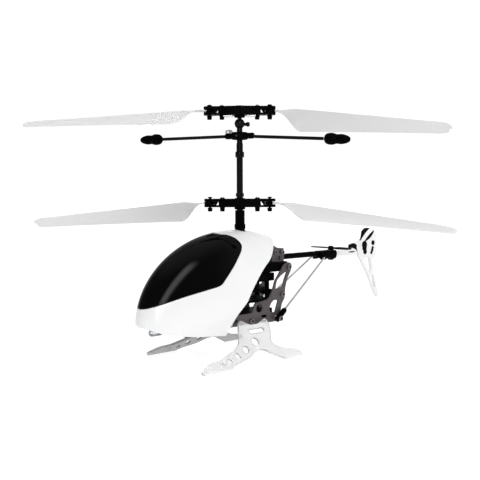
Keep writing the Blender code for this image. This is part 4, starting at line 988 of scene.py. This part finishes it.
def power_pack():
    """The cell in its pouch with an amber tape edge, the circuit board with its parts, and the leads."""
    cell = block((-5.6, -38, 18.8), (5.6, -16.4, 24.2), 1.1, 4)
    seal = block((-5.2, -16.6, 21.2), (5.2, -15, 21.5), 0.1)
    stand_in("battery_cell", merged(cell, seal), CELL_FOIL)
    tape = block((-5.68, -19.4, 18.72), (5.68, -17.6, 24.28), 1.1, 4)
    add("cell_tape", tape, TAPE_AMBER)
    stand_in("circuit_board", soften(block((-6.6, -37, 25.4), (6.6, -17, 26.4)), 0.1), BOARD_GREEN)
    chips = [((-2.6, -31), (2.2, 2.2), 0.9), ((2.8, -33.2), (1.3, 1.8), 0.7), ((3.4, -26.4), (1.2, 1), 1.3),
             ((-3.6, -24.8), (1.1, 0.9), 0.6), ((-4.8, -35), (0.9, 1.2), 1.1), ((0.4, -22.2), (1.6, 1.1), 0.8)]
    for i, ((x, y), (half_x, half_y), rise) in enumerate(chips):
        body = block((x - half_x, y - half_y, 26.42), (x + half_x, y + half_y, 26.42 + rise), 0.12)
        add(f"chip_{i}", body, CHIP_BLACK)
        legs = []
        for k in range(-2, 3):
            for side in (1, -1):
                at = (x + side * (half_x + 0.2), y + k * half_y * 0.4)
                legs.append(block((at[0] - 0.25, at[1] - 0.09, 26.42), (at[0] + 0.25, at[1] + 0.09, 26.6)))
        add(f"chip_legs_{i}", merged(*legs), TIN)
    joints = [lathe([(0, 0.5), (0.3, 0.42), (0.7, 0.06), (0.75, 0), (0, 0)], 0.08,
                    Matrix.Translation((x, y, 26.42)), 24) for x, y in
              ((-4.6, -19.4), (-4.6, -20.6), (4.6, -19.4), (4.6, -20.6), (5.4, -30), (5.4, -31.6))]
    add("solder_joints", merged(*joints), TIN)
    for i, look in enumerate((WIRE_RED, WIRE_BLACK)):
        x = 2 + 1.4 * i
        route = [(x, -15.3, 21.4), (x, -13.6, 21.8), (x + 0.8, -13, 24.2), (x + 1.6, -14.6, 27),
                 (5.2, -20 - i, 27.6), (5.4, -30 - 1.6 * i, 26.9)]
        add(f"cell_lead_{i}", tube(route, 0.36), look)
    lamp_place = Matrix.Translation((0, -44.6, 14.6)) @ LIE_NOSE
    dome = [(1.4 * sin(radians(a)), 0.8 + 1.4 * cos(radians(a))) for a in range(0, 91, 10)]
    lamp = lathe(dome + [(1.4, -2.9), (1.4, -3.4), (0, -3.4)], 0, lamp_place, 40)
    stand_in("nose_lamp", lamp, LAMP_CLEAR)


# ---- skids

SKID_SLOPE = 0.83
SKID_TOP = (8, 16)
SKID_THICK = 1.2


def skid_placement(side):
    slope = hypot(1, SKID_SLOPE)
    along = Vector((0, 1, 0))
    down = Vector((side * SKID_SLOPE, 0, -1)) / slope
    turn = Matrix((along, down, along.cross(down))).transposed().to_4x4()
    return Matrix.Translation((side * SKID_TOP[0], 0, SKID_TOP[1])) @ turn


def skids():
    outline = [(-8.2, 0.9), (-6.4, 0.2), (-3.4, 2.3), (0.4, 2.9), (4, 1.8), (6.4, 0.9), (7.5, 3), (6.6, 7),
               (4.6, 11.2), (5.2, 13.6), (9, 15.9), (13.8, 17.2), (17.2, 19), (17, 21.8), (10.1, 22.4),
               (6.2, 20), (1.9, 17.3), (-2.1, 14.9), (-6, 15.2), (-10.7, 17.4), (-18.6, 19.3), (-23, 21.6),
               (-28, 22.6), (-33.6, 21.8), (-35.6, 19.6), (-33.2, 17.9), (-29.6, 16.5), (-25, 16),
               (-20.2, 14.2), (-15.8, 12.4), (-12.4, 9.8), (-10.4, 5.6), (-9, 2.6)]
    loop = flowing(outline + outline[:3], 5)[5:-5]
    holes = [slot((-0.7, 5.9), 4.2, 1)]
    holes += [circle((y, run), radius, 36) for y, run, radius in
              ((-4.1, 10.8, 1.85), (-10.6, 13.5, 1.6), (-16, 15.8, 1.35), (-20.8, 17.3, 1.05), (-24.9, 18.4, 0.85))]
    # The right skid takes the darker copy of the clear plastic, which paints the shade it lies in
    for label, side, look in (("left", 1, SKID_CLEAR), ("right", -1, SKID_PAINTED_SHADE)):
        work = plate(loop, SKID_THICK, 0.22, holes, skid_placement(side))
        work = carve(work, ("DIFFERENCE", block((side * 25 - 15, -60, -10), (side * 25 + 15, 40, 0))),
                     ("DIFFERENCE", block((-7.7, -60, 10), (7.7, 40, 20))))
        stand_in("landing_skid_" + label, work, look)


# ---- tail

def tail():
    tube_profile = [(BOOM_R, 18.95), (BOOM_R, -18.95), (BOOM_R - 0.45, -18.95), (BOOM_R - 0.45, 18.95)]
    lie_aft = Matrix.Translation((0, 36.35, BOOM_Z)) @ LIE_NOSE
    stand_in("tail_boom", lathe(tube_profile, 0.08, lie_aft, closed=True), BLACK_NYLON)
    refined("strut_clamp", BLACK_NYLON, 0.15)
    refined("tail_motor_holder", BLACK_NYLON, 0.15)
    motor = lathe([(0, 42), (1.5, 42), (1.5, 38.4), (1.4, 38.3), (1.4, 38.1), (1.5, 38), (1.5, 37.7),
                   (1.2, 37.4), (0, 37.4)], 0.1, Matrix.Translation((0, TAIL_HUB.y, 0)))
    stand_in("tail_motor", motor, STEEL_DARK)
    fin = [(60, 39.2), (70.4, 38.8), (76, 39.3), (78.2, 36.4), (81.5, 31.7), (84.6, 27), (88.6, 19.4),
           (91.3, 15.5), (92.6, 15.5), (92.7, 16.6), (91.4, 21.6), (88.9, 30.3), (87.4, 36), (90.2, 37.4),
           (91, 44.2), (90.3, 49.4), (87.6, 51.9), (82.6, 52.3), (80, 50.8), (79.4, 46.8), (76.6, 45.3),
           (71.6, 44.9), (70.4, 44.2), (70.2, 41.9), (60, 41.5)]
    windows = [[(81, 36.6), (82.8, 33), (85.2, 29.9), (86.7, 30.4), (85.4, 36), (84.6, 37.2)],
               [(86.4, 27.2), (89.2, 21.4), (90.2, 20.4), (88.2, 27.6)]]
    work = plate(rounded(fin, 1.3, 6), 1.2, 0.2, [rounded(window, 0.5) for window in windows], UPRIGHT)
    stand_in("tail_fin", work, FIN_WHITE)
    for label, side in (("left", 1), ("right", -1)):
        foot, top = Vector((side * 9.1, 14.4, 14.9)), Vector((side * 4.2, 48.4, 39.3))
        run = (top - foot).normalized()
        socket = lathe([(0, 7.4), (0.8, 7.4), (1.25, 6.4), (1.25, 0), (0, 0)], 0.2,
                       between(foot - run * 1.4, foot + run * 6), 40)
        socket = carve(socket, ("DIFFERENCE", rod((side * 5, *SOCKET_BOLT), (side * 13, *SOCKET_BOLT),
                                                   PIN_CLEAR_R, 0, 24)))
        stand_in("strut_socket_" + label, socket, BLACK_NYLON)
        stand_in("tail_strut_" + label, rod(foot + run * 6.3, top, 0.45, 0.1, 24), STEEL)


def tail_rotor():
    """A hub with a rounded cap and two twisted, tapered blades."""
    hub = lathe([(0, 1.1), (0.9, 0.95), (1.4, 0.5), (1.4, -0.9), (0, -0.9)], 0.15)
    rings = []
    for i in range(17):
        t = i / 16
        half = (0.9 + 0.65 * blend(t, 0, 0.35)) * sqrt(max(1 - max(t - 0.8, 0) ** 2 * 20, 0.02))
        section = [(half * x, 0.26 * y) for x, y in circle((0, 0), 1, 16)]
        pitch = radians(20 - 7 * t)
        rings.append([(0.9 + 10.4 * t, chord * cos(pitch) - rise * sin(pitch),
                       chord * sin(pitch) + rise * cos(pitch)) for chord, rise in section])
    blades = []
    for turn in (0, pi):
        work = loft(rings)
        work.transform(Matrix.Rotation(turn, 4, "Z"))
        blades.append(("UNION", work))
    work = carve(hub, *blades)
    stand_in("tail_rotor", work, GEAR_BLACK, "tail_rotor",
             placement=AIRFRAME @ Matrix.Translation(TAIL_HUB) @ Matrix.Rotation(radians(12), 4, "Z"))


rotors()
shafts()
flybar()
gears()
canopy()
side_plates()
frame_pieces()
motors()
power_pack()
skids()
tail()
tail_rotor()


# ---- stage, light and camera

BACKDROP = Vector((-0.782, 0.624, 0))      # the way to the white sweep behind the helicopter
SIDE_LIGHT = Vector((0.26, 0.94, 0.2))       # the way to the bright wall off the tail
KEY_LOW, KEY_HIGH = (50, 8), (86, 47)  # azimuth and elevation of the two ends of the leaning strip light
ROOM_LIGHT, DIM_LIGHT, STRIP_LIGHT, TOP_LIGHT, FLOOR_GLOW = 1.06, 0.32, 10, 0.25, 0.9
FLOOR_HALF = 4                             # metres
VIEW_AZIMUTH, VIEW_PITCH, VIEW_ROLL = 51.43, 4.2, -0.2
VIEW_DISTANCE, VIEW_HEIGHT = 295.2, 71.6     # from the mast, and above the floor
SENSOR_WIDTH, FOCAL_LENGTH = 36, 50.55


def heading(azimuth, elevation):
    azimuth, elevation = radians(azimuth), radians(elevation)
    return Vector((sin(azimuth) * cos(elevation), -cos(azimuth) * cos(elevation),
                   sin(elevation)))


def surroundings():
    """A white room that is dimmer on the side away from the sweep, with a leaning strip light there."""
    world = bpy.data.worlds.new("studio")
    world.use_nodes = True
    way = add_node(world, "ShaderNodeTexCoord").outputs["Generated"]

    def along(direction):
        return add_node(world, "ShaderNodeVectorMath", {0: way, 1: direction}, operation="DOT_PRODUCT").outputs[1]

    def eased(value, start, end):
        return add_node(world, "ShaderNodeMapRange", {"Value": value, "From Min": start, "From Max": end},
                        interpolation_type="SMOOTHSTEP").outputs["Result"]

    dim = calculate(world, "MULTIPLY", eased(along(BACKDROP), 0.85, 0.35), eased(along(SIDE_LIGHT), 0.9, 0.55))
    dim = calculate(world, "MULTIPLY", dim, eased(along((0, 0, 1)), 0.98, 0.7))
    room = calculate(world, "SUBTRACT", ROOM_LIGHT, calculate(world, "MULTIPLY", dim, ROOM_LIGHT - DIM_LIGHT))
    low, high = heading(*KEY_LOW), heading(*KEY_HIGH)
    off_line = calculate(world, "ABSOLUTE", along(low.cross(high).normalized()))
    strip = calculate(world, "MULTIPLY", eased(off_line, 0.15, 0.02),
                      eased(along((low + high).normalized()), cos(radians(34)), cos(radians(20))))
    total = calculate(world, "ADD", room, calculate(world, "MULTIPLY", strip, STRIP_LIGHT))
    background = world.node_tree.nodes["Background"]
    background.inputs["Color"].default_value = (1, 1, 1, 1)
    world.node_tree.links.new(total, background.inputs["Strength"])
    bpy.context.scene.world = world


def studio():
    """A pale shooting table, lit softly from within, under a faint broad light from straight above."""
    floor_mesh = bpy.data.meshes.new("floor")
    floor_mesh.from_pydata([(x * FLOOR_HALF, y * FLOOR_HALF, 0) for x, y in ((-1, -1), (1, -1), (1, 1), (-1, 1))],
                           [], [(0, 1, 2, 3)])
    floor_mesh.materials.append(worn("floor_pale", (0.2, 0.2, 0.2), (0.21, 0.21, 0.21), 60, (0.7, 0.8), 2, 0.01,
                                     Specular_IOR_Level=0.1, Emission_Color=(1, 1, 1, 1),
                                     Emission_Strength=FLOOR_GLOW))
    linked("floor", floor_mesh)
    light = bpy.data.lights.new("overhead", "SUN")
    light.energy, light.angle = TOP_LIGHT, radians(70)
    linked("overhead", light).visible_glossy = False


def camera():
    """The photograph's viewpoint: level with the rotors' middle, off the port bow."""
    azimuth, pitch, roll = (radians(angle) for angle in (VIEW_AZIMUTH, VIEW_PITCH, VIEW_ROLL))
    data = bpy.data.cameras.new("camera")
    data.sensor_width = SENSOR_WIDTH
    data.lens = FOCAL_LENGTH
    data.clip_start = 0.01
    obj = linked("camera", data)
    place = MAST_FOOT + Vector((sin(azimuth) * VIEW_DISTANCE, -cos(azimuth) * VIEW_DISTANCE, VIEW_HEIGHT))
    turn = Matrix.Rotation(azimuth, 4, "Z") @ Matrix.Rotation(pi / 2 - pitch, 4, "X")
    obj.matrix_world = Matrix.Translation(place * MM) @ turn @ Matrix.Rotation(roll, 4, "Z")
    bpy.context.scene.camera = obj


surroundings()
studio()
camera()
bpy.context.scene.view_settings.view_transform = "Standard"
